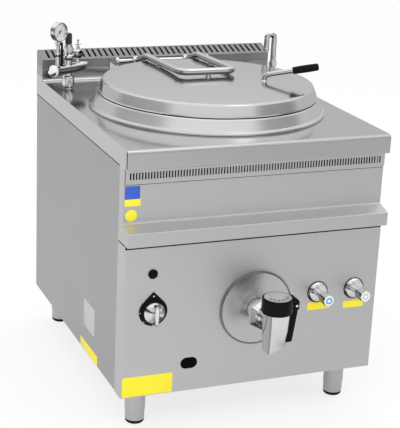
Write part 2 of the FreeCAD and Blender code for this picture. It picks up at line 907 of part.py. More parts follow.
def pan_collar():
    """Conical collar with a foot bead, seated on the worktop and holding the pan's rim."""
    t = collar_sheet
    foot = worktop_height
    bead_top = foot + bead_height
    rim = pan_inner_radius + pan_wall
    profile = [
        (cutout_radius + t, foot), (collar_radius, foot), (collar_radius, bead_top),
        (collar_radius - bead_height, bead_top + t), (collar_top_radius, pan_top - 3 * t),
        (collar_top_radius - 2 * t - seam, pan_top), (rim, pan_top), (rim, pan_top - t),
        (collar_top_radius - 3 * t, pan_top - t), (collar_top_radius - t - seam, pan_top - 4 * t),
        (collar_radius - bead_height - t, bead_top), (collar_radius - bead_height - t, foot + t),
        (cutout_radius + t, foot + t),
    ]
    radii = [0, 3, 3, 3, 4, 2, 0, 0, 1, 2, 1, 1, 0]
    return turned(profile, (0, pan_y, 0), (0, 0, 1), radii)


def steam_jacket():
    """Water and steam jacket round the pan, with the burner skirt under its floor."""
    inner = jacket_radius - jacket_wall
    neck = pan_inner_radius + pan_wall
    profile = [
        (drain_pipe_radius, jacket_floor), (inner, jacket_floor), (inner, skirt_low),
        (jacket_radius, skirt_low), (jacket_radius, jacket_top), (neck, jacket_top),
        (neck, jacket_top - jacket_wall), (inner, jacket_top - jacket_wall),
        (inner, jacket_floor + jacket_wall), (0, jacket_floor + jacket_wall), (0, jacket_floor),
    ]
    jacket = turned(profile, (0, pan_y, 0), (0, 0, 1))
    drain_hole = bent_rod(drain_route(pan_floor), drain_pipe_radius + rest_gap, drain_elbow)
    drain_out = rod((drain_x, drain_well_y, drain_height), (drain_x, lip_y, drain_height),
                    drain_pipe_radius + drain_clear)
    return jacket.cut([drain_hole, drain_out, flue_window(pan_y, pan_y + 2 * jacket_radius, 0)])


def drain_route(top):
    """Centre line of the drain, from a height under the pan to the union."""
    return [
        (drain_x, drain_well_y, top),
        (drain_x, drain_well_y, drain_height),
        (drain_x, lower_y - union_stand, drain_height),
    ]


def flue_window(front, back, wall):
    """Flat bar along Y through which the burnt gas leaves the skirt."""
    return box((-flue_half_width - wall, front, burner_height - flue_drop - wall),
               (flue_half_width + wall, back, burner_height + flue_lift + wall))


def insulation_sleeve():
    """Mineral wool sleeve round the jacket, open where pipes pass."""
    low, high = jacket_floor, jacket_top
    sleeve = rod((0, pan_y, low), (0, pan_y, high), sleeve_radius)
    core = rod((0, pan_y, low), (0, pan_y, high), jacket_radius)
    bore = safety_pipe_body(gauge_stem + insulation_clear)
    fill = rod((tap_left_x, lower_y, fill_height), (tap_left_x, pan_y, fill_height),
               water_pipe_radius + insulation_clear)
    return sleeve.cut([core, bore, fill])


def drain_pipe():
    """Outlet elbow from the pan's floor to the front."""
    route = drain_route(pan_floor - pan_wall)
    outer = bent_rod(route, drain_pipe_radius, drain_elbow)
    return outer.cut(bent_rod(route, drain_bore, drain_elbow))


def burner_ring():
    """Ring tube of the burner."""
    return Part.makeTorus(burner_radius, burner_tube, V(0, pan_y, burner_height), V(0, 0, 1))


def burner():
    """Ring burner with a cross tube, flame ports and two posts on the pan beams."""
    z = burner_height
    cross = rod((-burner_radius, pan_y, z), (burner_radius, pan_y, z), cross_tube)
    mixer = rod((0, pan_y - burner_radius, z), (0, pan_y + burner_radius, z), cross_tube)
    half, bar = burner_post / 2, burner_bar
    bar_top = z - bar / 3
    posts = []
    for side in (-1, 1):
        y = pan_y + side * beam_offset
        near, far = sorted((y, pan_y + side * burner_radius))
        posts.append(box((-half, near - bar / 2, bar_top - bar), (half, far + bar / 2, bar_top)))
        posts.append(box((-half, y - bar / 2, frame_top), (half, y + bar / 2, bar_top)))
    body = fuse([burner_ring(), cross, mixer] + posts)
    ports = []
    crest = z + burner_tube
    for index in range(port_count):
        angle = 2 * math.pi * (index + 0.5) / port_count
        x = burner_radius * math.cos(angle)
        y = pan_y + burner_radius * math.sin(angle)
        ports.append(rod((x, y, crest - 2 * port_radius), (x, y, crest + port_radius), port_radius))
    return body.cut(ports)


def flue_duct():
    """Flat flue from the burner skirt up to the chimney cap."""
    wall = flue_sheet
    front, back = upstand_y + riser_gap, rear_y - 3 * sheet - wall
    low, high = burner_height - flue_drop - riser_drop, upstand_top - top_sheet
    riser = box((-riser_half_width, front, low), (riser_half_width, back, high))
    body = fuse([riser, flue_window(pan_y, front + wall, wall)])
    room = box((wall - riser_half_width, front + wall, low + wall),
               (riser_half_width - wall, back - wall, high + wall))
    skirt = rod((0, pan_y, low - wall), (0, pan_y, high), jacket_radius)
    return body.cut([room, flue_window(pan_y - wall, front + 2 * wall, 0), skirt])


# Lid

def lid_arc(offset):
    """Arc of the lid's domed top, from its axis to its edge, lowered by an offset."""
    top_r = lid_radius - lid_taper
    half_r = top_r / 2
    return Part.Arc(V(0, 0, lid_top - offset), V(half_r, 0, crown_height(half_r) - offset),
                    V(top_r - offset, 0, lid_edge - offset * dome_edge_share))


def lid_shell():
    """Flat-domed lid of one spun sheet."""
    t = lid_sheet
    top_r = lid_radius - lid_taper
    edge_in = lid_edge - t * dome_edge_share
    edges = [lid_arc(0).toShape(), lid_arc(t).toShape()]
    edges += straight_edges([(top_r, 0, lid_edge), (lid_radius, 0, lid_low), (lid_radius - t, 0, lid_low),
                             (top_r - t, 0, edge_in)])
    edges += straight_edges([(0, 0, lid_top - t), (0, 0, lid_top)])
    shell = Part.Face(Part.Wire(Part.sortEdges(edges)[0])).revolve(V(0, 0, 0), V(0, 0, 1), 360)
    shell.translate(V(0, pan_y, 0))
    rim = [e for e in shell.Edges if abs(e.BoundBox.ZMax - lid_edge) < 1e-3
           and abs(e.BoundBox.ZMin - lid_edge) < 1e-3]
    return shell.makeFillet(lid_shoulder, rim)


def lid_liner():
    """Dished inner skin that closes the lid."""
    outer = lid_radius - lid_sheet - lid_taper * sheet / lid_side - rest_gap
    low, dish = lid_low, lid_low + liner_dish
    t = sheet
    flat = seal_inner - bend
    slope = flat - liner_slope
    profile = [(0, dish), (slope, dish), (flat, low), (outer, low), (outer, low + t), (flat, low + t),
               (slope, dish + t), (0, dish + t)]
    return turned(profile, (0, pan_y, 0), (0, 0, 1))


def lid_seal():
    """Rubber ring under the lid's rim."""
    profile = [(seal_inner, pan_top + rest_gap), (seal_outer, pan_top + rest_gap),
               (seal_outer, lid_low), (seal_inner, lid_low)]
    return turned(profile, (0, pan_y, 0), (0, 0, 1))


def crown_height(distance):
    """Height of the lid's top face at a distance from its axis."""
    return lid_edge + lid_crown * (1 - (distance / (lid_radius - lid_taper)) ** 2)


def lid_arm():
    """U-shaped tube arm on studs, with hinge knuckles at its rear ends."""
    w = arm_half_width
    knee_y = hinge_y - arm_knee
    path = [
        (-w, hinge_y, hinge_height),
        (-w, knee_y, arm_rear_height),
        (-w, pan_y, arm_front_height),
        (w, pan_y, arm_front_height),
        (w, knee_y, arm_rear_height),
        (w, hinge_y, hinge_height),
    ]
    tube = bent_rod(path, arm_radius, arm_bend)
    knuckles = [rod((s * w - knuckle_length / 2, hinge_y, hinge_height),
                    (s * w + knuckle_length / 2, hinge_y, hinge_height), knuckle_radius) for s in (-1, 1)]
    stud_y = pan_y + stud_reach
    stud_top = arm_front_height - arm_fall * stud_reach / (knee_y - pan_y)
    studs = [rod((0, pan_y, lid_edge), (0, pan_y, arm_front_height), stud_radius)]
    for s in (-1, 1):
        studs.append(rod((s * w, stud_y, lid_edge), (s * w, stud_y, stud_top), stud_radius))
    body = fuse([tube] + knuckles + studs)
    body = body.cut(lid_top_cutter())
    return body.cut(rod((-hinge_half_span, hinge_y, hinge_height), (hinge_half_span, hinge_y, hinge_height),
                        hinge_shaft_radius + running_gap))


def lid_top_cutter():
    """Solid with the lid's outer form, for feet that stand on its curved top."""
    edges = [lid_arc(0).toShape()]
    edges += straight_edges([(lid_radius - lid_taper, 0, lid_edge), (0, 0, lid_edge), (0, 0, lid_top)])
    solid = Part.Face(Part.Wire(Part.sortEdges(edges)[0])).revolve(V(0, 0, 0), V(0, 0, 1), 360)
    solid.translate(V(0, pan_y, 0))
    return solid


def lever_points():
    """Centre line of the lid lever, from its foot on the lid to its free end."""
    c, s = math.cos(math.radians(lever_azimuth)), math.sin(math.radians(lever_azimuth))
    foot, end = lid_radius - lever_foot_inset, lid_radius - lever_end_inset
    low = crown_height(foot) - lever_foot_sink
    return [
        (foot * c, pan_y + foot * s, low),
        (foot * c, pan_y + foot * s, low + lever_foot_height),
        (end * c, pan_y + end * s, lid_top + lever_end_rise),
    ]


def lid_lever():
    """Bent round bar welded on the lid."""
    bar = bent_rod(lever_points(), lever_radius, lever_bend)
    return bar.cut(lid_top_cutter())


def lever_grip():
    """Black grip pushed over the lever's end."""
    a, b = [V(*p) for p in lever_points()[1:]]
    way = (b - a).normalize()
    start = b - way * grip_length
    length = grip_length + grip_end
    r = grip_radius
    profile = [(0, 0), (r - 2, 0), (r, 3), (r, length - 6), (r - 3, length), (0, length)]
    grip = turned(profile, (start.x, start.y, start.z), (way.x, way.y, way.z), [0, 1.5, 2, 4, 2, 0])
    return grip.cut(Part.makeCylinder(lever_radius, grip_length, start, way))


def hinge_shaft():
    """Bright shaft between the hinge brackets."""
    x = hinge_half_span + bracket_width / 2
    return rod((-x, hinge_y, hinge_height), (x, hinge_y, hinge_height), hinge_shaft_radius)


def hinge_brackets():
    """Two cheeks with feet, fixed to the chimney face."""
    solids = []
    for side in (-1, 1):
        x = side * hinge_half_span
        low_x, high_x = x - bracket_width / 2, x + bracket_width / 2
        web_low = hinge_height - bracket_radius
        web_high = hinge_height + bracket_foot_sheet
        boss = rod((low_x, hinge_y, hinge_height), (high_x, hinge_y, hinge_height), bracket_radius)
        web = box((low_x, hinge_y, web_low), (high_x, upstand_y, web_high))
        foot = box((x - bracket_foot / 2, upstand_y - bracket_foot_sheet, web_low - bracket_drop),
                   (x + bracket_foot / 2, upstand_y, web_high))
        bore = rod((low_x - seam, hinge_y, hinge_height), (high_x + seam, hinge_y, hinge_height),
                   hinge_shaft_radius)
        solids.append(fuse([boss, web, foot]).cut(bore))
    return Part.makeCompound(solids)


# Drain tap

def drain_cover():
    """Round dished cover plate where the drain comes through the panel."""
    inner_depth = cover_depth - sheet
    hole = drain_pipe_radius + seam
    profile = [(cover_radius, 0), (cover_radius, cover_depth), (hole, cover_depth), (hole, inner_depth),
               (cover_radius - sheet, inner_depth), (cover_radius - sheet, 0)]
    radii = [0, cover_round, 0, 0, cover_round - sheet, 0]
    return turned(profile, (drain_x, lower_y, drain_height), (0, -1, 0), radii)


def tap_body():
    """Union nut, neck and upright tap body with a slanted mouth."""
    x, y, z = drain_x, tap_y, drain_height
    outer = turned(
        [(0, tap_bottom), (tap_foot_radius, tap_bottom), (tap_radius - seam, plug_bottom),
         (tap_radius, plug_bottom + union_collar), (tap_radius, tap_top), (0, tap_top)],
        (x, y, 0), (0, 0, 1))
    union_y = lower_y - union_stand
    neck = rod((x, union_y, z), (x, y, z), neck_radius)
    nut = hex_bar((x, union_y, z), union_width, union_length, (0, -1, 0))
    collar = rod((x, union_y - union_length, z), (x, union_y - union_length - union_collar, z),
                 neck_radius + neck_wall)
    body = fuse([outer, neck, nut, collar])
    chamber = rod((x, y, plug_bottom), (x, y, tap_top), plug_radius + running_gap)
    spout = rod((x, y, tap_bottom - seam), (x, y, plug_bottom), tap_bore)
    way = rod((x, union_y + seam, z), (x, y, z), neck_radius - neck_wall)
    reach = 2 * tap_foot_radius
    low = tap_bottom - seam
    slant = [(x + mouth_start, y - reach, low), (x + reach, y - reach, low),
             (x + reach, y - reach, tap_bottom + 2 * mouth_rise),
             (x + tap_foot_radius, y - reach, tap_bottom + mouth_rise), (x + mouth_start, y - reach, low)]
    mouth = Part.Face(Part.makePolygon([V(*p) for p in slant])).extrude(V(0, 2 * reach, 0))
    return body.cut([chamber, spout, way, mouth])


def tap_plug():
    """Turning plug with one side window and a stem into the cap."""
    x, y, z = drain_x, tap_y, drain_height
    base = plug_bottom + rest_gap
    head = tap_top - plug_head_gap
    plug = rod((x, y, base), (x, y, head), plug_radius)
    stem = rod((x, y, head), (x, y, tap_top + plug_stem_rise), plug_stem_radius)
    window = rod((x, y, z), (x - 2 * plug_radius, y, z), window_radius)
    mouth = rod((x, y, base - seam), (x, y, z), plug_radius - plug_wall)
    return fuse([plug, stem]).cut([window, mouth])


def tap_cap():
    """Black heat-proof cap with an ear for the folding lever."""
    low = tap_top + rest_gap
    top = tap_top + cap_height
    profile = [(0, low), (cap_radius - cap_round / 2, low), (cap_radius, low + cap_round),
               (cap_radius - seam, top - cap_round), (cap_radius - cap_round, top), (0, top)]
    cap = turned(profile, (drain_x, tap_y, 0), (0, 0, 1), [0, 2, 2, 2, 2, 0])
    far = drain_x + cap_radius + ear_length
    ear = box((drain_x, tap_y - ear_width / 2, low + ear_low), (far, tap_y + ear_width / 2, top - ear_top))
    ends = [e for e in ear.Edges if abs(e.BoundBox.XMin - far) < 1e-3
            and abs(e.BoundBox.XMax - far) < 1e-3 and e.BoundBox.YLength > seam]
    body = fuse([cap, ear.makeFillet(ear_round, ends)])
    gap = lever_arm_thick / 2 + lever_slot_gap
    slot = box((drain_x + cap_radius + lever_slot_gap, tap_y - gap, low - seam),
               (far + seam, tap_y + gap, top))
    stem_hole = rod((drain_x, tap_y, low - seam), (drain_x, tap_y, tap_top + plug_stem_rise),
                    plug_stem_radius)
    seat = rod((drain_x, tap_y, top - disc_height + disc_proud), (drain_x, tap_y, top + seam), disc_radius)
    return body.cut([slot, stem_hole, tap_pin(), seat])


def pin_place():
    """Centre of the lever's pin."""
    return drain_x + cap_radius + ear_length - pin_inset, tap_top + rest_gap + ear_low + pin_rise


def tap_pin():
    """Bright pin through the ear and the lever."""
    x, z = pin_place()
    return rod((x, tap_y - ear_width / 2, z), (x, tap_y + ear_width / 2, z), pin_radius)


def tap_disc():
    """Silver disc let into the top of the cap."""
    top = tap_top + cap_height + disc_proud
    return rod((drain_x, tap_y, top - disc_height), (drain_x, tap_y, top), disc_radius)


def tap_lever():
    """Black lever that hangs beside the spout and lifts to turn the cap."""
    x, z = pin_place()
    t = lever_arm_thick
    half = lever_arm_width / 2
    neck = lever_neck
    low = z - lever_arm_length
    front = tap_y - t / 2
    outline = [
        (x - neck, front, z + neck),
        (x + neck, front, z + neck),
        (x + half - 2 * seam, front, z - lever_shoulder),
        (x + half - lever_lean, front, low),
        (x - half - lever_lean, front, low),
        (x - half - 5 * seam, front, z - 1.5 * lever_shoulder),
        (x - neck, front, z - 3 * neck),
    ]
    blade = outline_plate(closed_outline(outline, [6, 6, 10, 3, 3, 10, 3]), (0, t, 0))
    return blade.cut(rod((x, tap_y - t, z), (x, tap_y + t, z), pin_radius + running_gap))


# Gas controls

def knob_bezel():
    """Fixed round plate behind the gas knob, drawn out to an index tip at the top."""
    r = bezel_radius
    reach = r * r / bezel_tip
    side = math.sqrt(r * r - reach * reach)
    tip = V(knob_x, lower_y, knob_height + bezel_tip)
    left = V(knob_x - side, lower_y, knob_height + reach)
    right = V(knob_x + side, lower_y, knob_height + reach)
    low = V(knob_x, lower_y, knob_height - r)
    edges = [Part.LineSegment(left, tip).toShape(), Part.LineSegment(tip, right).toShape(),
             Part.Arc(right, low, left).toShape()]
    plate = outline_plate(edges, (0, -bezel_thick, 0))
    bore = rod((knob_x, lower_y + seam, knob_height), (knob_x, lower_y - bezel_thick - seam, knob_height),
               spindle_radius + seam)
    return plate.cut(bore)


def gas_knob():
    """Black skirted disc of the gas knob."""
    base = bezel_thick + rest_gap
    bore = spindle_radius + running_gap
    r = knob_skirt_radius
    top = base + knob_skirt_depth
    profile = [(bore, base), (r, base), (r, base + knob_skirt_rim), (r - knob_skirt_slope, top), (bore, top)]
    return turned(profile, (knob_x, lower_y, knob_height), (0, -1, 0), [0, 1, 2, 2, 0])


def knob_bar():
    """Chromed centre and finger bar of the gas knob."""
    base = bezel_thick + rest_gap + knob_skirt_depth
    r = knob_core_radius
    face = base + knob_core_depth
    core = turned([(0, base), (r, base), (r - knob_core_taper, face), (0, face)],
                  (knob_x, lower_y, knob_height), (0, -1, 0), [0, 0, 3, 0])
    half = knob_bar_length / 2
    front = lower_y - face - knob_bar_depth
    bar = box((knob_x - knob_bar_width / 2, front, knob_height - half),
              (knob_x + knob_bar_width / 2, lower_y - base - knob_bar_seat, knob_height + half))
    bar = bar.makeFillet(knob_bar_round, [e for e in bar.Edges if abs(e.BoundBox.YMin - front) < 1e-3
                                          and abs(e.BoundBox.YMax - front) < 1e-3])
    bore = rod((knob_x, lower_y, knob_height), (knob_x, lower_y - face - knob_bar_seat, knob_height),
               spindle_radius + running_gap)
    return fuse([core, bar]).cut(bore)


def gas_valve():
    """Gas valve body behind the panel with its spindle."""
    y = lower_y + sheet
    back = y + gas_valve_depth
    body = box((knob_x - gas_valve_half, y, knob_height - gas_valve_low),
               (knob_x + gas_valve_half, back, knob_height + gas_valve_high))
    long_edges = [e for e in body.Edges if e.BoundBox.YLength > gas_valve_depth / 2]
    body = body.makeFillet(gas_valve_round, long_edges)
    magnet_z = knob_height - magnet_drop
    magnet = rod((knob_x, back, magnet_z), (knob_x, back + magnet_length, magnet_z), magnet_radius)
    face = bezel_thick + rest_gap + knob_skirt_depth + knob_core_depth
    spindle = rod((knob_x, y, knob_height), (knob_x, lower_y - face, knob_height), spindle_radius)
    return fuse([body, magnet, spindle])


def gas_supply():
    """Inlet stub and supply pipe to the valve."""
    y = lower_y + sheet + gas_valve_depth / 2
    run = frame_top + gas_run_rise
    entry = knob_height - gas_entry_drop
    stub = rod((gas_inlet_x, inlet_y, inlet_end), (gas_inlet_x, inlet_y, run - inlet_overlap), inlet_radius)
    route = [(gas_inlet_x, inlet_y, run - inlet_overlap), (gas_inlet_x, inlet_y, run),
             (gas_inlet_x, y, run), (gas_inlet_x, y, entry), (knob_x, y, entry),
             (knob_x, y, knob_height - gas_valve_low)]
    return fuse([stub, bent_rod(route, gas_pipe_radius, gas_pipe_bend)])


def gas_feed():
    """Feed pipe from the valve up into the burner ring."""
    y = lower_y + sheet + gas_valve_depth / 2
    run = frame_top + gas_run_rise
    x = -math.sqrt(burner_radius ** 2 - feed_offset ** 2)
    end_y = pan_y - feed_offset
    route = [(knob_x + gas_valve_half, y, knob_height), (x, y, knob_height), (x, y, run), (x, end_y, run),
             (x, end_y, burner_height)]
    return bent_rod(route, gas_pipe_radius, gas_pipe_bend).cut(burner_ring())


def gas_pipes():
    """All gas pipes."""
    return Part.makeCompound([gas_supply(), gas_feed()])


def pilot():
    """Pilot burner and spark electrode on a bracket at the burner ring."""
    x, z = pilot_x, burner_height
    t = frame_sheet
    y = pan_y - math.sqrt((burner_radius + burner_tube) ** 2 - x * x) - bracket_foot_sheet
    lead = pilot_plate / 4
    top = z + electrode_top
    plate = box((x - pilot_plate / 2, y - t, z - 4 * t), (x + pilot_plate / 2, y, top - 2 * t))
    head = rod((x - lead, y - 2 * t, z - 2 * t), (x - lead, y - 2 * t, top - t), pilot_head)
    electrode = rod((x + lead, y - 2 * t, z - electrode_low), (x + lead, y - 2 * t, top), electrode_radius)
    holder = rod((x + lead, y - 2 * t, z - 5 * t), (x + lead, y - 2 * t, z + 3 * t), 2 * electrode_radius)
    clip = box((x - 2 * t, y - t, z - t), (x + 2 * t, y + burner_tube, z + t))
    return fuse([plate, head, electrode, holder, clip]).cut(burner_ring())


def igniter_housing():
    """Barrel of the spark igniter with its front ring."""
    r = button_ring_radius
    bore = button_radius + running_gap
    barrel_r = button_radius + sheet
    floor = barrel_floor - button_barrel
    profile = [(bore, button_ring_depth), (r, button_ring_depth), (r, 0), (barrel_r, 0),
               (barrel_r, -button_barrel), (0, -button_barrel), (0, floor), (bore, floor)]
    return turned(profile, (button_x, lower_y, button_height), (0, -1, 0), [0, sheet, 0, 0, 0, 0, 0, 0])


def igniter_button():
    """Round push button of the spark igniter."""
    profile = [(0, button_proud), (button_radius, button_proud), (button_radius, -button_tail),
               (0, -button_tail)]
    return turned(profile, (button_x, lower_y, button_height), (0, -1, 0), [0, 2, 1, 0])


# Water controls

def escutcheons():
    """Two chromed wall plates of the water taps."""
    r, inner = escutcheon_radius, tap_sleeve_radius
    rim = escutcheon_rim
    profile = [(inner, 0), (r, 0), (r, rim), (r - escutcheon_slope, escutcheon_depth - rim),
               (inner + rim, escutcheon_depth), (inner, escutcheon_depth)]
    return Part.makeCompound([turned(profile, (x, lower_y, water_height), (0, -1, 0), [0, 0, 1, 4, 0, 0])
                              for x in (tap_left_x, tap_right_x)])


def water_valves():
    """Two stop valves behind the panel, each with a sleeve and spindle to the front."""
    solids = []
    z = water_height
    half = valve_cross_half
    sleeve_y = lower_y - tap_sleeve_length
    for x in (tap_left_x, tap_right_x):
        y = lower_y + sheet
        cross_y = y + valve_cross_depth
        body = rod((x, y, z), (x, y + valve_body_length, z), valve_body_radius)
        cross = rod((x, cross_y, z - half), (x, cross_y, z + half), valve_cross_radius)
        sleeve = rod((x, y, z), (x, sleeve_y, z), tap_sleeve_radius)
        spindle = rod((x, sleeve_y, z), (x, lower_y - tap_knob_end + tap_spindle_end, z), spindle_radius)
        solids.append(fuse([body, cross, sleeve, spindle]))
    return Part.makeCompound(solids)


def tap_knob(x):
    """Fluted chromed knob of a water tap."""
    start = tap_sleeve_length + tap_knob_gap
    end = tap_knob_end
    r = tap_knob_radius
    bore = spindle_radius + running_gap
    floor = end - tap_spindle_end + seam
    profile = [(bore, start), (r - flute_radius, start), (r, start + tap_knob_shoulder), (r, end - 2 * seam),
               (r - 2 * seam, end), (0, end), (0, floor), (bore, floor)]
    knob = turned(profile, (x, lower_y, water_height), (0, -1, 0), [0, 2, 4, 1, 1, 0, 0, 0])
    ring = r + flute_stand
    near, far = lower_y - start - 1.5 * tap_knob_shoulder, lower_y - end + 3 * flute_radius / 2
    flutes = []
    for index in range(flute_count):
        angle = 2 * math.pi * (index + 0.5) / flute_count
        fx = x + ring * math.cos(angle)
        fz = water_height + ring * math.sin(angle)
        flutes.append(rod((fx, near, fz), (fx, far, fz), flute_radius))
    return knob.cut(flutes)


def water_pipes():
    """Inlet stub, supply pipes, jacket filling pipe and riser to the filling spout."""
    r, turn = water_pipe_radius, water_pipe_bend
    y = lower_y + sheet + valve_cross_depth
    low, high = water_height - valve_cross_half, water_height + valve_cross_half
    run = water_run_height
    supply = bent_rod([(tap_right_x, y, low), (tap_right_x, y, run), (tap_right_x, inlet_y, run),
                       (tap_right_x, inlet_y, run - 2 * inlet_overlap)], r, turn)
    stub = rod((tap_right_x, inlet_y, run - 1.5 * inlet_overlap), (tap_right_x, inlet_y, inlet_end),
               inlet_radius)
    branch_z = run + water_branch_rise
    branch = bent_rod([(tap_left_x, y, low), (tap_left_x, y, branch_z), (tap_right_x, y, branch_z)], r, turn)
    wall_y = pan_y - math.sqrt(jacket_radius ** 2 - tap_left_x ** 2)
    jacket_fill = bent_rod([(tap_left_x, y, high), (tap_left_x, y, fill_height),
                            (tap_left_x, wall_y + jacket_wall, fill_height)], r, turn)
    jacket_fill = jacket_fill.cut(rod((0, pan_y, jacket_floor), (0, pan_y, jacket_top), jacket_radius))
    return Part.makeCompound([fuse([supply, stub, branch]), jacket_fill, water_riser(y, high)])


def water_riser(y, low):
    """Pipe from the right valve past the side panel's flange and the insulation up to the spout."""
    r = water_pipe_radius
    pass_x = half_width - flange - 2 * r
    side_x = half_width - sheet - r - riser_clear
    jog_y = side_front_y + 2 * flange
    z = console_top - riser_low
    rise = z + 3 * riser_jog
    route = [(tap_right_x, y, low), (tap_right_x, y, z), (pass_x, y, z), (pass_x, jog_y, z),
             (side_x, jog_y + riser_jog, z), (side_x, spout_y, z), (side_x, spout_y, rise),
             (spout_x, spout_y, rise + riser_jog), (spout_x, spout_y, worktop_height)]
    return bent_rod(route, r, water_pipe_bend)


def spout_base():
    """Deck flange, standing pipe and swivel nut of the filling spout."""
    bore = water_pipe_radius - sheet
    foot, wide = worktop_height, spout_flange_radius
    place = (spout_x, spout_y, 0)
    pipe = turned([(bore, foot), (wide, foot), (wide, foot + spout_flange_height),
                   (spout_radius + sheet, foot + spout_flare), (spout_radius, foot + spout_flare),
                   (spout_radius, spout_joint), (bore, spout_joint)], place, (0, 0, 1))
    nut = hex_bar((spout_x, spout_y, spout_joint - spout_nut_height / 2), spout_nut_width,
                  spout_nut_height, (0, 0, 1))
    below = rod((spout_x, spout_y, spout_joint - spout_nut_height), (spout_x, spout_y, spout_joint),
                spout_radius)
    above = rod((spout_x, spout_y, spout_joint), (spout_x, spout_y, spout_joint + spout_nut_height),
                spout_radius + running_gap)
    return fuse([pipe, nut.cut([below, above])])


def filling_spout():
    """Swan-neck filling spout with its mouth turned down."""
    top = spout_top - spout_radius
    path = [(spout_x, spout_y, spout_joint + rest_gap), (spout_x, spout_y, top),
            (spout_x - 2 * spout_hook, spout_y, top), (spout_x - 2 * spout_hook, spout_y, spout_mouth)]
    hook = spout_hook - bend_slack
    return bent_rod(path, spout_radius, hook).cut(bent_rod(path, spout_bore, hook))


# Safety group

def along_manifold(distance):
    """Plan position at a distance along the turned manifold."""
    angle = math.radians(safety_turn)
    return safety_x + distance * math.cos(angle), safety_y + distance * math.sin(angle)


def safety_pipe_body(radius):
    """Pipe from the jacket's wall up to the safety group, of one radius."""
    share = (jacket_radius - safety_pipe_sink) / math.hypot(safety_x, safety_y - pan_y)
    wall_x, wall_y = safety_x * share, pan_y + (safety_y - pan_y) * share
    low = jacket_top - safety_pipe_drop
    route = [(safety_x, safety_y, worktop_height), (safety_x, safety_y, low), (wall_x, wall_y, low)]
    return bent_rod(route, radius, safety_pipe_bend)


def safety_pipe():
    """Steam pipe from the jacket to the safety group."""
    pipe = safety_pipe_body(gauge_stem)
    return pipe.cut(rod((0, pan_y, jacket_floor), (0, pan_y, jacket_top), jacket_radius))


def safety_manifold():
    """Base nut, neck and horizontal manifold of the safety group."""
    foot, rise = worktop_height, safety_foot_height
    r = manifold_radius
    base = turned([(0, foot), (safety_foot_radius, foot), (safety_foot_radius, foot + rise / 2),
                   (safety_foot_radius - sheet, foot + rise), (0, foot + rise)],
                  (safety_x, safety_y, 0), (0, 0, 1))
    nut = hex_bar((safety_x, safety_y, foot + rise), safety_nut_width, safety_nut_top - foot - rise,
                  (0, 0, 1))
    neck = rod((safety_x, safety_y, safety_nut_top), (safety_x, safety_y, safety_axis_height),
               safety_neck_radius)
    start, way = manifold_start()
    cap = turned([(0, 0), (r - 3 * seam, 0), (r + seam, manifold_cap / 2), (r + seam, manifold_cap),
                  (0, manifold_cap)], start, way, [0, 2, 2, 0, 0])
    return fuse([base, nut, neck, manifold_tube(), cap])


def manifold_start():
    """Left end of the manifold and the direction it runs in."""
    angle = math.radians(safety_turn)
    x, y = along_manifold(-manifold_left)
    return (x, y, safety_axis_height), (math.cos(angle), math.sin(angle), 0)


def manifold_tube():
    """Manifold tube, straight at first and drawn in to a rounded tip."""
    r = manifold_radius
    length = manifold_left + manifold_right
    start, way = manifold_start()
    return turned([(0, 0), (r, 0), (r, length * manifold_straight), (r * 0.8, length * manifold_shoulder),
                   (manifold_tip, length), (0, length)], start, way, [0, 0, 30, 20, 1, 0])


def gauge_face_way():
    """Direction that the gauge's face looks in."""
    angle = math.radians(gauge_turn)
    return V(math.sin(angle), -math.cos(angle), 0)


def gauge_stem_piece():
    """Stem and cock between the manifold and the gauge."""
    x, y = along_manifold(gauge_offset)
    top = gauge_height - gauge_radius
    nut_low = top - gauge_nut_height - gauge_rim
    cock_z = top - gauge_cock_drop
    stem = rod((x, y, safety_axis_height), (x, y, nut_low), gauge_stem)
    nut = hex_bar((x, y, nut_low), gauge_nut_width, gauge_nut_height, (0, 0, 1))
    neck = rod((x, y, nut_low), (x, y, top + gauge_neck), gauge_neck_radius)
    way = gauge_face_way()
    grip = rod((x, y, cock_z), (x + way.x * gauge_cock_reach, y + way.y * gauge_cock_reach, cock_z),
               gauge_neck)
    return fuse([stem, nut, neck, grip]).cut([manifold_tube(), gauge_drum()])


def gauge_drum():
    """Full drum of the gauge case."""
    return Part.makeCylinder(gauge_radius, gauge_depth, gauge_point(0), gauge_face_way())


def gauge_case():
    """Gauge case with a rolled bezel, open to the front."""
    r, back = gauge_radius, gauge_depth - gauge_face_depth
    rim, step = gauge_rim, gauge_depth - 2 * gauge_rim
    profile = [(0, 0), (r - 2 * seam, 0), (r - seam, 2 * seam), (r - seam, step), (r, step), (r, gauge_depth),
               (r - rim, gauge_depth), (r - rim, back), (0, back)]
    start, way = gauge_point(0), gauge_face_way()
    return turned(profile, (start.x, start.y, start.z), (way.x, way.y, way.z), [0, 1, 0, 0, 0, 1.5, 0, 0, 0])


def gauge_point(depth):
    """Point on the gauge's axis at a depth from the back of its case."""
    x, y = along_manifold(gauge_offset)
    way = gauge_face_way()
    return V(x, y, gauge_height) - way * (gauge_depth * gauge_stem_share) + way * depth


def gauge_glass():
    """Front glass of the gauge."""
    return Part.makeCylinder(gauge_radius - gauge_rim, glass_sheet,
                             gauge_point(gauge_depth - gauge_rim + seam), gauge_face_way())


def gauge_needle():
    """Black pointer on its arbor."""
    way = gauge_face_way()
    up = V(0, 0, 1)
    place = gauge_point(gauge_depth - gauge_face_depth + rest_gap)
    hub = Part.makeCylinder(hub_radius, hub_height, place, way)
    tilt = math.radians(needle_zero)
    along = up * math.cos(tilt) + up.cross(way) * math.sin(tilt)
    across = way.cross(along) * needle_half_width
    tip = place + along * (gauge_radius - 3 * gauge_rim)
    tail = place - along * needle_tail
    points = [tail - across, tail + across, tip + across / 3, tip - across / 3, tail - across]
    blade = Part.Face(Part.makePolygon(points)).extrude(way * needle_sheet)
    return fuse([hub, blade])


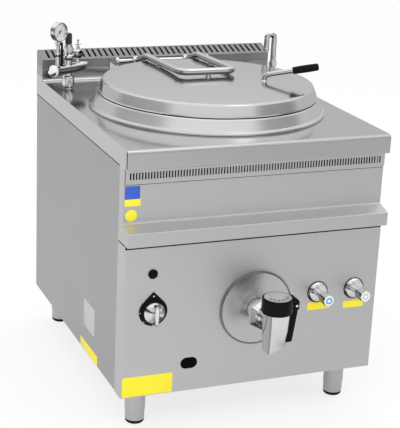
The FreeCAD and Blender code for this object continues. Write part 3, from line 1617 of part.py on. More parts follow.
def safety_valve():
    """Spring-loaded safety valve body."""
    x, y = safety_x, safety_y
    low = safety_axis_height
    band_low = low + valve_band_low
    band_top = band_low + valve_band_height
    wide = valve_band_radius
    body = rod((x, y, low), (x, y, band_low + seam), valve_radius)
    band = turned([(0, band_low), (wide, band_low), (wide, band_top - 3 * seam), (wide - 3 * seam, band_top),
                   (0, band_top)], (x, y, 0), (0, 0, 1))
    hexagon = hex_bar((x, y, band_top), valve_hexagon_width, valve_hexagon_height, (0, 0, 1))
    return fuse([body, band, hexagon]).cut(manifold_tube())


def safety_valve_cap():
    """Dark ribbed cap of the safety valve."""
    low = safety_axis_height + valve_band_low + valve_band_height + valve_hexagon_height
    r = valve_cap_radius
    taper = 2 * valve_rib_radius
    cap = turned([(0, low), (r, low), (r, valve_top - 1.5 * taper), (r - taper, valve_top), (0, valve_top)],
                 (safety_x, safety_y, 0), (0, 0, 1), [0, 0, 3, 3, 0])
    ribs = []
    for index in range(valve_rib_count):
        angle = 2 * math.pi * index / valve_rib_count
        rx = safety_x + (r + valve_rib_stand) * math.cos(angle)
        ry = safety_y + (r + valve_rib_stand) * math.sin(angle)
        ribs.append(rod((rx, ry, low + taper), (rx, ry, valve_top), valve_rib_radius))
    return cap.cut(ribs)


def vent_cock():
    """Round vent cock on the manifold's right arm."""
    x, y = along_manifold(cock_offset)
    way = gauge_face_way()
    r, depth, stem_r = cock_radius, cock_depth, cock_stem_radius
    boss_low = cock_height + r - gauge_rim
    boss_top = cock_height + r + cock_boss_rise
    stem = rod((x, y, safety_axis_height), (x, y, cock_height), stem_r)
    back = V(x, y, cock_height) - way * (depth / 2)
    drum = turned([(0, 0), (r - 2 * seam, 0), (r, 3 * seam), (r, depth - 3 * seam), (r - 3 * seam, depth),
                   (stem_r, depth), (stem_r, depth - cock_recess), (0, depth - cock_recess)],
                  (back.x, back.y, back.z), (way.x, way.y, way.z), [0, 1, 1, 1, 1, 0, 0, 0])
    boss = rod((x, y, boss_low), (x, y, boss_top), cock_boss_radius)
    socket = rod((x, y, cock_height + r + seam), (x, y, boss_top + seam), cock_pin_radius + running_gap)
    return fuse([stem, drum, boss]).cut([manifold_tube(), socket])


def vent_lever():
    """Small pin handle that turns in the vent cock."""
    x, y = along_manifold(cock_offset)
    base = cock_height + cock_radius + seam + rest_gap
    ball_z = cock_pin_top - cock_ball_radius
    bar_z = base + cock_bar_rise
    pin = rod((x, y, base), (x, y, ball_z), cock_pin_radius)
    ball = Part.makeSphere(cock_ball_radius, V(x, y, ball_z))
    bar = rod((x - cock_bar_half, y, bar_z), (x + cock_bar_half, y, bar_z), cock_bar_radius)
    return fuse([pin, ball, bar])


# Assembly

parts["worktop"] = worktop()
parts["side_panel_left"] = side_panel()
parts["side_panel_right"] = mirror_x(parts["side_panel_left"])
parts["rear_panel"] = rear_panel()
parts["vent_panel"] = vent_panel()
parts["console_panel"] = console_panel()
parts["lower_front_panel"] = lower_front_panel()
parts["chimney_cap"] = chimney_cap()
parts["flue_duct"] = flue_duct()
parts["base_frame"] = base_frame()
parts["foot_legs"] = foot_legs()
for place_name, place_x, place_y in foot_places:
    parts["levelling_foot_" + place_name] = levelling_foot(place_x, place_y)

parts["pan_vessel"] = pan_vessel()
parts["pan_collar"] = pan_collar()
parts["steam_jacket"] = steam_jacket()
parts["insulation_sleeve"] = insulation_sleeve()
parts["burner"] = Part.makeCompound([burner(), pilot()])

parts["lid_shell"] = lid_shell()
parts["lid_liner"] = lid_liner()
parts["lid_seal"] = lid_seal()
parts["lid_arm"] = lid_arm()
parts["lid_lever"] = lid_lever()
parts["lever_grip"] = lever_grip()
parts["hinge_shaft"] = hinge_shaft()
parts["hinge_brackets"] = hinge_brackets()

parts["drain_pipe"] = drain_pipe()
parts["drain_cover"] = drain_cover()
parts["tap_body"] = tap_body()
parts["tap_plug"] = tap_plug()
parts["tap_cap"] = tap_cap()
parts["tap_disc"] = tap_disc()
parts["tap_pin"] = tap_pin()
parts["tap_lever"] = tap_lever()

parts["knob_bezel"] = knob_bezel()
parts["gas_knob"] = gas_knob()
parts["knob_bar"] = knob_bar()
parts["gas_valve"] = gas_valve()
parts["gas_pipes"] = gas_pipes()
parts["igniter_housing"] = igniter_housing()
parts["igniter_button"] = igniter_button()

parts["escutcheons"] = escutcheons()
parts["water_valves"] = water_valves()
parts["tap_knob_left"] = tap_knob(tap_left_x)
parts["tap_knob_right"] = tap_knob(tap_right_x)
parts["water_pipes"] = water_pipes()
parts["spout_base"] = spout_base()
parts["filling_spout"] = filling_spout()

parts["safety_pipe"] = safety_pipe()
parts["safety_manifold"] = safety_manifold()
parts["gauge_stem"] = gauge_stem_piece()
parts["gauge_case"] = gauge_case()
parts["gauge_glass"] = gauge_glass()
parts["gauge_needle"] = gauge_needle()
parts["safety_valve"] = safety_valve()
parts["safety_valve_cap"] = safety_valve_cap()
parts["vent_cock"] = vent_cock()
parts["vent_lever"] = vent_lever()

os.makedirs("parts", exist_ok=True)
for node, shape in parts.items():
    shape.exportStep("parts/" + node + ".step")
    bounds = shape.BoundBox
    corners = (bounds.XMin, bounds.XMax, bounds.YMin, bounds.YMax, bounds.ZMin, bounds.ZMax)
    print(node, len(shape.Solids), "solids", "valid" if shape.isValid() else "BROKEN",
          [round(value, 1) for value in corners])
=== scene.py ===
import math

import bmesh
import bpy
import numpy as np
from mathutils import Matrix, Vector


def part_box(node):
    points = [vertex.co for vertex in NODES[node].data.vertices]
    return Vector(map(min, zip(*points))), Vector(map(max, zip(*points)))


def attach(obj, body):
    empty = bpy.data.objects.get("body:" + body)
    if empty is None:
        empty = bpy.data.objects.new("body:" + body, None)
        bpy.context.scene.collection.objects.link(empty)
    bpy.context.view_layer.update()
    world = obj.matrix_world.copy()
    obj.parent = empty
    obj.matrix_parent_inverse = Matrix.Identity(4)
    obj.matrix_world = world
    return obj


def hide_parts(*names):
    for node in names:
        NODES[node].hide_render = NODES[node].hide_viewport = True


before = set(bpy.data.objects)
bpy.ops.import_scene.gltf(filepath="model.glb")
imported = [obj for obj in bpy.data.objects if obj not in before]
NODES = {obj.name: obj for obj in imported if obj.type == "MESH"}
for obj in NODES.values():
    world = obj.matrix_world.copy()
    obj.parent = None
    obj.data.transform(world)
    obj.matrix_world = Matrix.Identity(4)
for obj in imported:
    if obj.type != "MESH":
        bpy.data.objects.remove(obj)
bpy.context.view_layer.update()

MM = 0.001
RIGHT, FRONT, UP = (1, 0, 0), (0, -1, 0), (0, 0, 1)


def mm(*values):
    """Numbers or points written in millimetres, as metres."""
    return np.array(values, float) * MM


# Places read from the frame

def corner(node):
    """Lowest and highest corner of a node, in metres."""
    low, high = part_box(node)
    return np.array(low), np.array(high)


def middle(node):
    """Centre of a node's box."""
    low, high = corner(node)
    return (low + high) / 2


lid_low, lid_high = corner("lid_shell")
pan_axis = (lid_low + lid_high) / 2
collar_low, collar_high = corner("pan_collar")
panel_y = corner("lower_front_panel")[0][1]
console_low = corner("console_panel")[0]
upper_panel_y = console_low[1] + 50 * MM
cabinet_x = corner("worktop")[1][0]
worktop_z = collar_low[2]
manifold_z = 913 * MM


def dome_drop(distance):
    """Fall of the lid's dome below its crown: 11 mm * (distance from the axis / 320 mm)^2."""
    return 11 * MM * (distance / (320 * MM)) ** 2


def manifold_way():
    """Level unit vector along the safety manifold, from the valve to the vent cock."""
    way = middle("vent_lever") - middle("safety_valve_cap")
    way[2] = 0
    return way / np.linalg.norm(way)


# Surfaces

def rounded(points, radii, steps=6):
    """Polyline with its inner corners turned into arcs: each arc is centre + radius * (cos, sin)
    between the two points where it touches the straight runs."""
    points = [np.asarray(p, float) for p in points]
    out = [points[0][None, :]]
    for before, at, after, radius in zip(points, points[1:], points[2:], radii):
        back = (before - at) / np.linalg.norm(before - at)
        ahead = (after - at) / np.linalg.norm(after - at)
        half = math.acos(float(np.clip(back @ ahead, -1, 1))) / 2
        if radius <= 0 or half > math.pi / 2 - 1e-4:
            out.append(at[None, :])
            continue
        bisector = (back + ahead) / np.linalg.norm(back + ahead)
        centre = at + bisector * (radius / math.sin(half))
        start = at + back * (radius / math.tan(half)) - centre
        end = at + ahead * (radius / math.tan(half)) - centre
        sweep = math.pi - 2 * half
        t = np.linspace(0, 1, steps)[:, None]
        arc = np.sin((1 - t) * sweep) * start + np.sin(t * sweep) * end
        out.append(centre + arc / math.sin(sweep))
    out.append(points[-1][None, :])
    return np.vstack(out)


def closed_rounded(points, radii, steps=6):
    """Closed outline with rounded corners, without its repeated end point."""
    points = [np.asarray(p, float) for p in points]
    seam_point = (points[-1] + points[0]) / 2
    return rounded([seam_point] + points + [seam_point], radii, steps)[:-1]


def axes_for(direction):
    """Two unit vectors square to a direction."""
    way = np.asarray(direction, float) / np.linalg.norm(direction)
    helper = UP if abs(way[2]) < 0.9 else RIGHT
    first = np.cross(helper, way)
    first /= np.linalg.norm(first)
    return way, first, np.cross(way, first)


# Whether the first and the last row of a grid are capped
OPEN, CLOSED = (False, False), (True, True)


def shell_faces(rows, cols, start, caps):
    """Faces of a rows by cols grid of points that are numbered from start: quads (r, c),
    (r, c + 1), (r + 1, c + 1), (r + 1, c), closed across the columns, and one face over the first
    and the last row where caps says so."""
    r, c = np.meshgrid(np.arange(rows - 1), np.arange(cols), indexing="ij")
    right = (c + 1) % cols
    low, high = start + r * cols, start + (r + 1) * cols
    faces = np.stack([low + c, low + right, high + right, high + c], -1).reshape(-1, 4).tolist()
    for row, capped in zip((0, rows - 1), caps):
        if capped:
            faces.append(list(range(start + row * cols, start + (row + 1) * cols)))
    return faces


def piece(name, shells, material, body, replaces=(), sharp=32.0):
    """One object from shells, each a grid of points with its caps: doubles merged, faces outwards,
    smooth between sharp edges. It rides on a body and hides the nodes it replaces."""
    mesh = bpy.data.meshes.new(name)
    verts, faces, start = [], [], 0
    for grid, caps in shells:
        rows, cols = grid.shape[:2]
        faces += shell_faces(rows, cols, start, caps)
        verts.append(grid.reshape(-1, 3))
        start += rows * cols
    mesh.from_pydata(np.vstack(verts).tolist(), [], faces)
    work = bmesh.new()
    work.from_mesh(mesh)
    bmesh.ops.remove_doubles(work, verts=work.verts, dist=2e-6)
    bmesh.ops.recalc_face_normals(work, faces=work.faces)
    work.to_mesh(mesh)
    work.free()
    mesh.shade_smooth()
    mesh.set_sharp_from_angle(angle=math.radians(sharp))
    obj = bpy.data.objects.new(name, mesh)
    bpy.context.scene.collection.objects.link(obj)
    mesh.materials.append(material)
    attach(obj, body)
    if replaces:
        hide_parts(*replaces)


def lathe(profile, centre, direction=UP, segments=96):
    """Surface of revolution: point(u, v) = centre + radius(v) * (cos u * first + sin u * second)
    + height(v) * direction, with first and second square to the direction."""
    profile = np.asarray(profile, float)
    way, first, second = axes_for(direction)
    u = np.linspace(0, 2 * math.pi, segments, endpoint=False)
    spokes = np.cos(u)[:, None] * first + np.sin(u)[:, None] * second
    radii, heights = profile[:, None, 0:1], profile[:, None, 1:2]
    grid = radii * spokes[None] + heights * way + np.asarray(centre, float)
    return grid, OPEN


def carried(section, path, up=None, caps=CLOSED):
    """Closed section carried along a path: point(u, v) = path(v) + x(u) * side(v) + y(u) * rise(v),
    with the side and rise axes turned no more than the path itself turns."""
    section, path = np.asarray(section, float), np.asarray(path, float)
    tangents = np.gradient(path, axis=0)
    tangents[0], tangents[-1] = path[1] - path[0], path[-1] - path[-2]
    tangents /= np.linalg.norm(tangents, axis=1)[:, None]
    side = np.cross(up, tangents[0]) if up is not None else axes_for(tangents[0])[1]
    sides = []
    for tangent in tangents:
        side = side - tangent * (side @ tangent)
        side = side / np.linalg.norm(side)
        sides.append(side)
    sides = np.array(sides)
    rises = np.cross(tangents, sides)
    x, y = section[..., 0:1], section[..., 1:2]
    grid = path[:, None, :] + x * sides[:, None, :] + y * rises[:, None, :]
    return grid, caps


def ring(radius, segments=40):
    """Round section: radius * (cos u, sin u)."""
    u = np.linspace(0, 2 * math.pi, segments, endpoint=False)
    return np.stack([radius * np.cos(u), radius * np.sin(u)], -1)


def slab(outline, origin, across, rise, depth, edge=0.0, steps=3):
    """Plate from a closed plane outline: point(u, v) = outline(u) - normal(u) * inset(v)
    + depth(v) * (across x rise), where inset and depth follow a quarter circle at the edge."""
    outline = np.asarray(outline, float)
    across, rise = np.asarray(across, float), np.asarray(rise, float)
    out = np.cross(across, rise)
    centre = outline.mean(axis=0)
    spread = np.roll(outline, -1, 0) - np.roll(outline, 1, 0)
    normal = np.stack([spread[:, 1], -spread[:, 0]], -1)
    normal /= np.linalg.norm(normal, axis=1)[:, None] + 1e-12
    if ((outline - centre) * normal).sum() < 0:
        normal = -normal
    t = np.linspace(0, math.pi / 2, steps)
    insets = np.concatenate([[0.0], edge * (1 - np.cos(t))])
    heights = np.concatenate([[0.0], depth - edge + edge * np.sin(t)])
    flat = outline[None] - normal[None] * insets[:, None, None]
    plane = flat[..., 0:1] * across + flat[..., 1:2] * rise
    grid = np.asarray(origin, float) + plane + heights[:, None, None] * out
    return grid, CLOSED


def hexagon(width, chamfer, length, centre, direction, turn=0.0, cut=0.0):
    """Hexagon nut: radius(u) = half width / cos(angle from the nearest flat's middle), and at both
    ends a circle of half the width less the cut, so that a cone trims the corners."""
    way, first, second = axes_for(direction)
    u = np.linspace(0, 2 * math.pi, 72, endpoint=False) + turn
    flats = (width / 2) / np.cos((u + math.pi / 6) % (math.pi / 3) - math.pi / 6)
    end = np.full_like(flats, width / 2 - cut)
    radii = np.stack([end, flats, flats, end])[..., None]
    heights = np.array([0, chamfer, length - chamfer, length])[:, None, None]
    spokes = np.cos(u)[:, None] * first + np.sin(u)[:, None] * second
    grid = radii * spokes + np.asarray(centre, float) + way * heights
    return grid, CLOSED


def ball(centre, radius):
    """Ball: a half circle (cos v, sin v) turned round the upright axis."""
    v = np.linspace(-math.pi / 2, math.pi / 2, 17)
    return lathe(np.stack([radius * np.cos(v), radius * np.sin(v)], -1), centre, UP, 32)


def strip(low, high, bottom, top=0):
    """Outline of an upright rectangle, from its sides."""
    return [(low, bottom), (high, bottom), (high, top), (low, top)]


# Shader groups

def socket(group, name, kind, way, default=None):
    """Named socket of a shader group."""
    made = group.interface.new_socket(name=name, in_out=way, socket_type=kind)
    if default is not None:
        made.default_value = default
    return made


def link(tree, source, target):
    """One wire of a node tree."""
    tree.links.new(source, target)


def maths(tree, operation, first, second=None, clamp=False):
    """Math node with sockets or plain numbers as inputs."""
    node = tree.nodes.new("ShaderNodeMath")
    node.operation = operation
    node.use_clamp = clamp
    for index, value in enumerate((first, second)):
        if value is None:
            continue
        if isinstance(value, (int, float)):
            node.inputs[index].default_value = value
        else:
            link(tree, value, node.inputs[index])
    return node.outputs[0]


def noise(tree, vector, scale, detail=2.0, rough=0.5):
    """Noise texture's value at a vector."""
    node = tree.nodes.new("ShaderNodeTexNoise")
    node.inputs["Scale"].default_value = scale
    node.inputs["Detail"].default_value = detail
    node.inputs["Roughness"].default_value = rough
    link(tree, vector, node.inputs["Vector"])
    return node.outputs["Fac"]


def make_brush_group():
    """Brushed grain: noise stretched along the brushing direction, in two finenesses."""
    group = bpy.data.node_groups.new("brushed_grain", "ShaderNodeTree")
    socket(group, "Vector", "NodeSocketVector", "INPUT")
    socket(group, "Stretch", "NodeSocketVector", "INPUT", (1.0, 1.0, 1.0))
    socket(group, "Tone", "NodeSocketFloat", "OUTPUT")
    socket(group, "Height", "NodeSocketFloat", "OUTPUT")
    ends = group.nodes.new("NodeGroupInput"), group.nodes.new("NodeGroupOutput")
    scaled = group.nodes.new("ShaderNodeVectorMath")
    scaled.operation = "MULTIPLY"
    link(group, ends[0].outputs["Vector"], scaled.inputs[0])
    link(group, ends[0].outputs["Stretch"], scaled.inputs[1])
    coarse = noise(group, scaled.outputs[0], 1.0, 3.0, 0.6)
    fine = noise(group, scaled.outputs[0], 3.1, 2.0, 0.6)
    both = maths(group, "MULTIPLY", coarse, 0.6), maths(group, "MULTIPLY", fine, 0.4)
    link(group, maths(group, "ADD", *both), ends[1].inputs["Tone"])
    link(group, fine, ends[1].inputs["Height"])
    return group


def make_smudge_group():
    """Faint handling marks: soft noise stretched round its middle, as a mask from 0 to 1."""
    group = bpy.data.node_groups.new("handling_marks", "ShaderNodeTree")
    socket(group, "Vector", "NodeSocketVector", "INPUT")
    socket(group, "Scale", "NodeSocketFloat", "INPUT", 6.0)
    socket(group, "Mask", "NodeSocketFloat", "OUTPUT")
    ends = group.nodes.new("NodeGroupInput"), group.nodes.new("NodeGroupOutput")
    soft = group.nodes.new("ShaderNodeTexNoise")
    soft.inputs["Detail"].default_value = 4.0
    link(group, ends[0].outputs["Vector"], soft.inputs["Vector"])
    link(group, ends[0].outputs["Scale"], soft.inputs["Scale"])
    spread = maths(group, "SUBTRACT", soft.outputs["Fac"], 0.42)
    link(group, maths(group, "MULTIPLY", spread, 2.4, True), ends[1].inputs["Mask"])
    return group


def ramp(tree, value, stops):
    """Grey colour ramp: (position, level) stops over 0 to 1."""
    node = tree.nodes.new("ShaderNodeValToRGB")
    link(tree, value, node.inputs[0])
    elements = node.color_ramp.elements
    elements[0].position, elements[0].color = stops[0][0], (*[stops[0][1]] * 3, 1)
    elements[1].position, elements[1].color = stops[-1][0], (*[stops[-1][1]] * 3, 1)
    for place, level in stops[1:-1]:
        stop = elements.new(place)
        stop.color = (level, level, level, 1)
    return node.outputs[0]


def full_turn(tree, rise, across):
    """Angle of (across, rise) as a share of a full turn: atan2 / 2 pi + 0.5."""
    angle = maths(tree, "ARCTAN2", rise, across)
    return maths(tree, "ADD", maths(tree, "DIVIDE", angle, 2 * math.pi), 0.5)


def make_painted_reflection_group():
    """Painted reflection and shade for small plated parts, by the way a face looks: dark along
    undersides, and in narrow upright streaks, fading out where the face looks up or down. Level is
    1 where nothing is painted."""
    group = bpy.data.node_groups.new("painted_reflection_streaks", "ShaderNodeTree")
    socket(group, "Vector", "NodeSocketVector", "INPUT")
    socket(group, "Level", "NodeSocketFloat", "OUTPUT")
    ends = group.nodes.new("NodeGroupInput"), group.nodes.new("NodeGroupOutput")
    split = group.nodes.new("ShaderNodeSeparateXYZ")
    link(group, ends[0].outputs["Vector"], split.inputs[0])
    turn = full_turn(group, split.outputs["Y"], split.outputs["X"])
    # Painted reflection: dark upright streaks set by which way a face turns.
    around = ramp(group, turn, (
        (0.0, 0.75), (0.045, 0.25), (0.065, 0.9), (0.08, 1.0), (0.11, 0.35), (0.145, 0.40),
        (0.17, 1.0), (0.30, 1.0), (0.325, 0.08), (0.35, 0.12), (0.37, 0.8), (0.43, 0.45),
        (0.47, 0.12), (0.52, 0.7), (0.72, 1.0), (0.76, 0.2), (0.80, 0.9), (0.93, 1.0),
        (0.96, 0.15), (1.0, 0.75)))
    upright = maths(group, "SUBTRACT", 1.0, maths(group, "POWER", split.outputs["Z"], 2.0))
    upright = maths(group, "POWER", upright, 3.0)
    shade = maths(group, "MULTIPLY", maths(group, "SUBTRACT", 1.0, around), upright)
    level = maths(group, "SUBTRACT", 1.0, shade)
    height = maths(group, "ADD", maths(group, "MULTIPLY", split.outputs["Z"], 0.5), 0.5)
    # Painted shade: faces that look down are darkened.
    under = ramp(group, height, (
        (0.0, 0.20), (0.22, 0.03), (0.40, 0.08), (0.455, 0.85), (0.49, 1.0), (0.63, 1.0),
        (0.66, 0.12), (0.70, 0.15), (0.725, 1.0), (1.0, 1.0)))
    link(group, maths(group, "MULTIPLY", level, under), ends[1].inputs["Level"])
    return group


BRUSH = make_brush_group()
PAINTED_REFLECTION = make_painted_reflection_group()
SMUDGE = make_smudge_group()


def start_material(name, base, roughness, metallic=0.0, **plain):
    """Principled material and its tree, with plain values on the shader's own sockets."""
    material = bpy.data.materials.new(name)
    material.use_nodes = True
    tree = material.node_tree
    shader = tree.nodes["Principled BSDF"]
    shader.inputs["Base Color"].default_value = (*base, 1.0)
    shader.inputs["Roughness"].default_value = roughness
    shader.inputs["Metallic"].default_value = metallic
    for key, value in plain.items():
        shader.inputs[key.replace("_", " ")].default_value = value
    place = tree.nodes.new("ShaderNodeTexCoord").outputs["Object"]
    return material, tree, shader, place


def grouped(tree, group, **values):
    """Shader group placed in a material with its own values."""
    node = tree.nodes.new("ShaderNodeGroup")
    node.node_tree = group
    for key, value in values.items():
        if hasattr(value, "links"):
            link(tree, value, node.inputs[key])
        else:
            node.inputs[key].default_value = value
    return node


def mix_colour(tree, factor, first, second):
    """Colour between two by a factor."""
    node = tree.nodes.new("ShaderNodeMix")
    node.data_type = "RGBA"
    link(tree, factor, node.inputs[0])
    node.inputs[6].default_value = (*first, 1.0)
    node.inputs[7].default_value = (*second, 1.0)
    return node.outputs[2]


def range_of(tree, value, low, high):
    """Value of 0 to 1 stretched from low to high."""
    node = tree.nodes.new("ShaderNodeMapRange")
    link(tree, value, node.inputs["Value"])
    node.inputs["To Min"].default_value = low
    node.inputs["To Max"].default_value = high
    return node.outputs["Result"]


def bump(tree, height, distance, strength=1.0):
    """Normal of a height pattern."""
    node = tree.nodes.new("ShaderNodeBump")
    node.inputs["Distance"].default_value = distance
    node.inputs["Strength"].default_value = strength
    link(tree, height, node.inputs["Height"])
    return node.outputs["Normal"]


def brushed(name, tone, roughness, stretch, contrast=0.06, tint=(1.0, 1.0, 1.0), depth=0.00002):
    """Satin brushed stainless sheet; stretch is small along the brushing and large across it."""
    dark = [tone * (1 - contrast) * c for c in tint]
    light = [min(1.0, tone * (1 + contrast)) * c for c in tint]
    material, tree, shader, place = start_material(name, [tone * c for c in tint], roughness, 1.0)
    grain = grouped(tree, BRUSH, Vector=place, Stretch=stretch)
    marks = grouped(tree, SMUDGE, Vector=place, Scale=5.0)
    link(tree, mix_colour(tree, grain.outputs["Tone"], dark, light), shader.inputs["Base Color"])
    rough = range_of(tree, grain.outputs["Tone"], roughness - 0.05, roughness + 0.05)
    duller = maths(tree, "MULTIPLY", marks.outputs["Mask"], 0.04)
    link(tree, maths(tree, "ADD", rough, duller), shader.inputs["Roughness"])
    link(tree, bump(tree, grain.outputs["Height"], depth, 0.35), shader.inputs["Normal"])
    return material


def polished(name, tone, roughness, tint=(1.0, 1.0, 1.0)):
    """Polished metal with faint handling marks in its gloss."""
    material, tree, shader, place = start_material(name, [tone * c for c in tint], roughness, 1.0)
    marks = grouped(tree, SMUDGE, Vector=place, Scale=22.0)
    rough = range_of(tree, marks.outputs["Mask"], roughness, roughness + 0.07)
    link(tree, rough, shader.inputs["Roughness"])
    clean, dulled = [tone * c for c in tint], [tone * c * 0.95 for c in tint]
    link(tree, mix_colour(tree, marks.outputs["Mask"], clean, dulled), shader.inputs["Base Color"])
    return material


def plated(name, tone, roughness, depth=1.0):
    """Chromium plating with painted reflection over the mirror: dark streaks and undersides painted
    into its colour.
    """
    material, tree, shader, place = start_material(name, [tone] * 3, roughness, 1.0)
    marks = grouped(tree, SMUDGE, Vector=place, Scale=22.0)
    # The group paints reflection and shade into the plating's colour.
    streaks = grouped(tree, PAINTED_REFLECTION, Vector=place.node.outputs["Normal"])
    level = range_of(tree, streaks.outputs["Level"], 1.0 - depth, 1.0)
    link(tree, mix_colour(tree, level, [0.03] * 3, [tone] * 3), shader.inputs["Base Color"])
    rough = range_of(tree, marks.outputs["Mask"], roughness, roughness + 0.05)
    link(tree, rough, shader.inputs["Roughness"])
    return material


def plate_with_painted_fans(name, tone, roughness, centre):
    """Plating with a painted reflection of turned grooves: bright and dark fans round an axis along
    Y at the centre, painted into its colour.
    """
    material, tree, shader, place = start_material(name, [tone] * 3, roughness, 1.0)
    split = tree.nodes.new("ShaderNodeSeparateXYZ")
    link(tree, place, split.inputs[0])
    across = maths(tree, "SUBTRACT", split.outputs["X"], float(centre[0]))
    rise = maths(tree, "SUBTRACT", split.outputs["Z"], float(centre[2]))
    # Painted reflection: fans of light and dark in the colour.
    fans = ramp(tree, full_turn(tree, rise, across), (
        (0.0, 0.95), (0.10, 0.9), (0.17, 0.5), (0.21, 0.95), (0.31, 0.9), (0.335, 0.05),
        (0.40, 0.06), (0.42, 0.8), (0.46, 0.95), (0.52, 0.35), (0.60, 0.9), (0.68, 0.3),
        (0.74, 0.9), (0.89, 0.9), (0.905, 0.05), (0.94, 0.06), (0.955, 0.9), (1.0, 0.95)))
    link(tree, mix_colour(tree, fans, [0.04] * 3, [tone] * 3), shader.inputs["Base Color"])
    return material


def painted_shade_above(material, low, high, share):
    """Painted shade: tone that falls to a share between two heights, so that a part is darker above
    them.
    """
    tree = material.node_tree
    target = tree.nodes["Principled BSDF"].inputs["Base Color"]
    colour = target.links[0].from_socket
    split = tree.nodes.new("ShaderNodeSeparateXYZ")
    link(tree, tree.nodes.new("ShaderNodeTexCoord").outputs["Object"], split.inputs[0])
    level = range_of(tree, split.outputs["Z"], 1.0, share)
    level.node.inputs["From Min"].default_value = low
    level.node.inputs["From Max"].default_value = high
    scaled = tree.nodes.new("ShaderNodeVectorMath")
    scaled.operation = "SCALE"
    link(tree, colour, scaled.inputs[0])
    link(tree, level, scaled.inputs["Scale"])
    link(tree, scaled.outputs[0], target)


def moulded(name, colour, roughness, grain=1400.0, depth=0.00003, specular=0.10):
    """Moulded plastic or rubber with a fine pebble and slight change of gloss."""
    material, tree, shader, place = start_material(name, colour, roughness,
                                                   Specular_IOR_Level=specular)
    pebble = noise(tree, place, grain, 2.0)
    marks = grouped(tree, SMUDGE, Vector=place, Scale=30.0)
    lighter = [c * 1.3 for c in colour]
    link(tree, mix_colour(tree, marks.outputs["Mask"], colour, lighter),
         shader.inputs["Base Color"])
    rough = range_of(tree, marks.outputs["Mask"], roughness, roughness + 0.1)
    link(tree, rough, shader.inputs["Roughness"])
    link(tree, bump(tree, pebble, depth, 0.4), shader.inputs["Normal"])
    return material


def printed(name, colour, roughness=0.35, **plain):
    """Printed or enamelled face with a slight mottle."""
    material, tree, shader, place = start_material(name, colour, roughness, **plain)
    mottle = noise(tree, place, 240.0, 3.0)
    darker = [c * 0.93 for c in colour]
    link(tree, mix_colour(tree, mottle, darker, colour), shader.inputs["Base Color"])
    link(tree, range_of(tree, mottle, roughness - 0.05, roughness + 0.08),
         shader.inputs["Roughness"])
    return material


ALONG_X = (14.0, 900.0, 900.0)
ALONG_Y = (900.0, 14.0, 900.0)
ALONG_Z = (900.0, 900.0, 14.0)
steel_front = brushed("steel_front", 0.71, 0.47, ALONG_X, 0.05)
# Painted shade: the side and rear sheets are a darker copy of the front's brushed steel.
steel_side_painted_shade = brushed("steel_side_painted_shade", 0.52, 0.44, ALONG_Y, 0.05)
steel_top = brushed("steel_top", 0.62, 0.13, ALONG_X, 0.04)
steel_lid = brushed("steel_lid", 0.74, 0.13, ALONG_X, 0.03)
steel_collar = brushed("steel_collar", 0.78, 0.17, (300.0, 300.0, 1200.0), 0.04)
# Painted shade: the worktop's upstand is darkened above the deck.
painted_shade_above(steel_top, worktop_z + 6 * MM, worktop_z + 14 * MM, 0.60)
# Painted shade: the drain cover's rim is darkened to a dark outline.
steel_rim_painted_shade = polished("steel_rim_painted_shade", 0.24, 0.24)
steel_cover = brushed("steel_cover", 0.66, 0.30, (1200.0, 300.0, 40.0), 0.05)
steel_inner = brushed("steel_inner", 0.62, 0.30, (260.0, 260.0, 700.0), 0.05)
steel_frame = brushed("steel_frame", 0.50, 0.48, ALONG_Z, 0.07)
steel_leg = brushed("steel_leg", 0.62, 0.34, (500.0, 500.0, 60.0), 0.06)
# Painted shade: the chimney cap's steel is darkened well below the other sheets.
steel_back_painted_shade = brushed("steel_back_painted_shade", 0.34, 0.34, ALONG_X, 0.05)
# Painted shade: the flue duct is near black so that the cap's slots read dark.
steel_flue_painted_shade = brushed("steel_flue_painted_shade", 0.06, 0.70, ALONG_Z, 0.20)
steel_bar = polished("steel_bar", 0.66, 0.12)
# The chromed materials carry painted reflection: dark streaks and undersides in their colour.
chromed = plated("chromed", 0.95, 0.05)
chromed_satin = plated("chromed_satin", 0.80, 0.16, 0.7)
chromed_bar = plated("chromed_bar", 0.84, 0.06, 0.92)
brass_turned = polished("brass_turned", 0.70, 0.25, (1.0, 0.80, 0.45))
pipe_copper = polished("pipe_copper", 0.66, 0.30, (1.0, 0.62, 0.45))
black_shine = moulded("black_shine", (0.004, 0.004, 0.005), 0.22)
black_satin = moulded("black_satin", (0.006, 0.006, 0.007), 0.40)
black_rubber = moulded("black_rubber", (0.012, 0.012, 0.012), 0.62)
grey_ribbed = moulded("grey_ribbed", (0.045, 0.045, 0.047), 0.38)
# Near black for the sight glass and plate joints, and painted shadow for the strips under skirts,
# band and console.
near_black_and_painted_shadow = moulded("near_black_and_painted_shadow", (0.002, 0.002, 0.002), 0.6, specular=0.05)
label_yellow = printed("label_yellow", (0.93, 0.80, 0.02))
label_blue = printed("label_blue", (0.035, 0.10, 0.55))
label_silver = printed("label_silver", (0.50, 0.51, 0.53), 0.3)
disc_silver = printed("disc_silver", (0.50, 0.51, 0.52), 0.3)
# Painted light: the dial glows a little to make up for lamp light held back by the gauge glass.
dial_white_painted_glow = printed("dial_white_painted_glow", (0.90, 0.90, 0.88), Emission_Color=(0.9, 0.9, 0.88, 1),
                     Emission_Strength=0.35)
mark_black = printed("mark_black", (0.02, 0.02, 0.02))
mark_white = printed("mark_white", (0.85, 0.85, 0.85))
index_blue = printed("index_blue", (0.03, 0.30, 0.75), 0.15)
wool = moulded("wool", (0.50, 0.44, 0.30), 0.95, 90.0, 0.002)

glass = start_material("gauge_glass_clear", (1.0, 1.0, 1.0), 0.03, Transmission_Weight=1.0,
                       IOR=1.45)[0]


# Nodes of the frame that keep their own shape

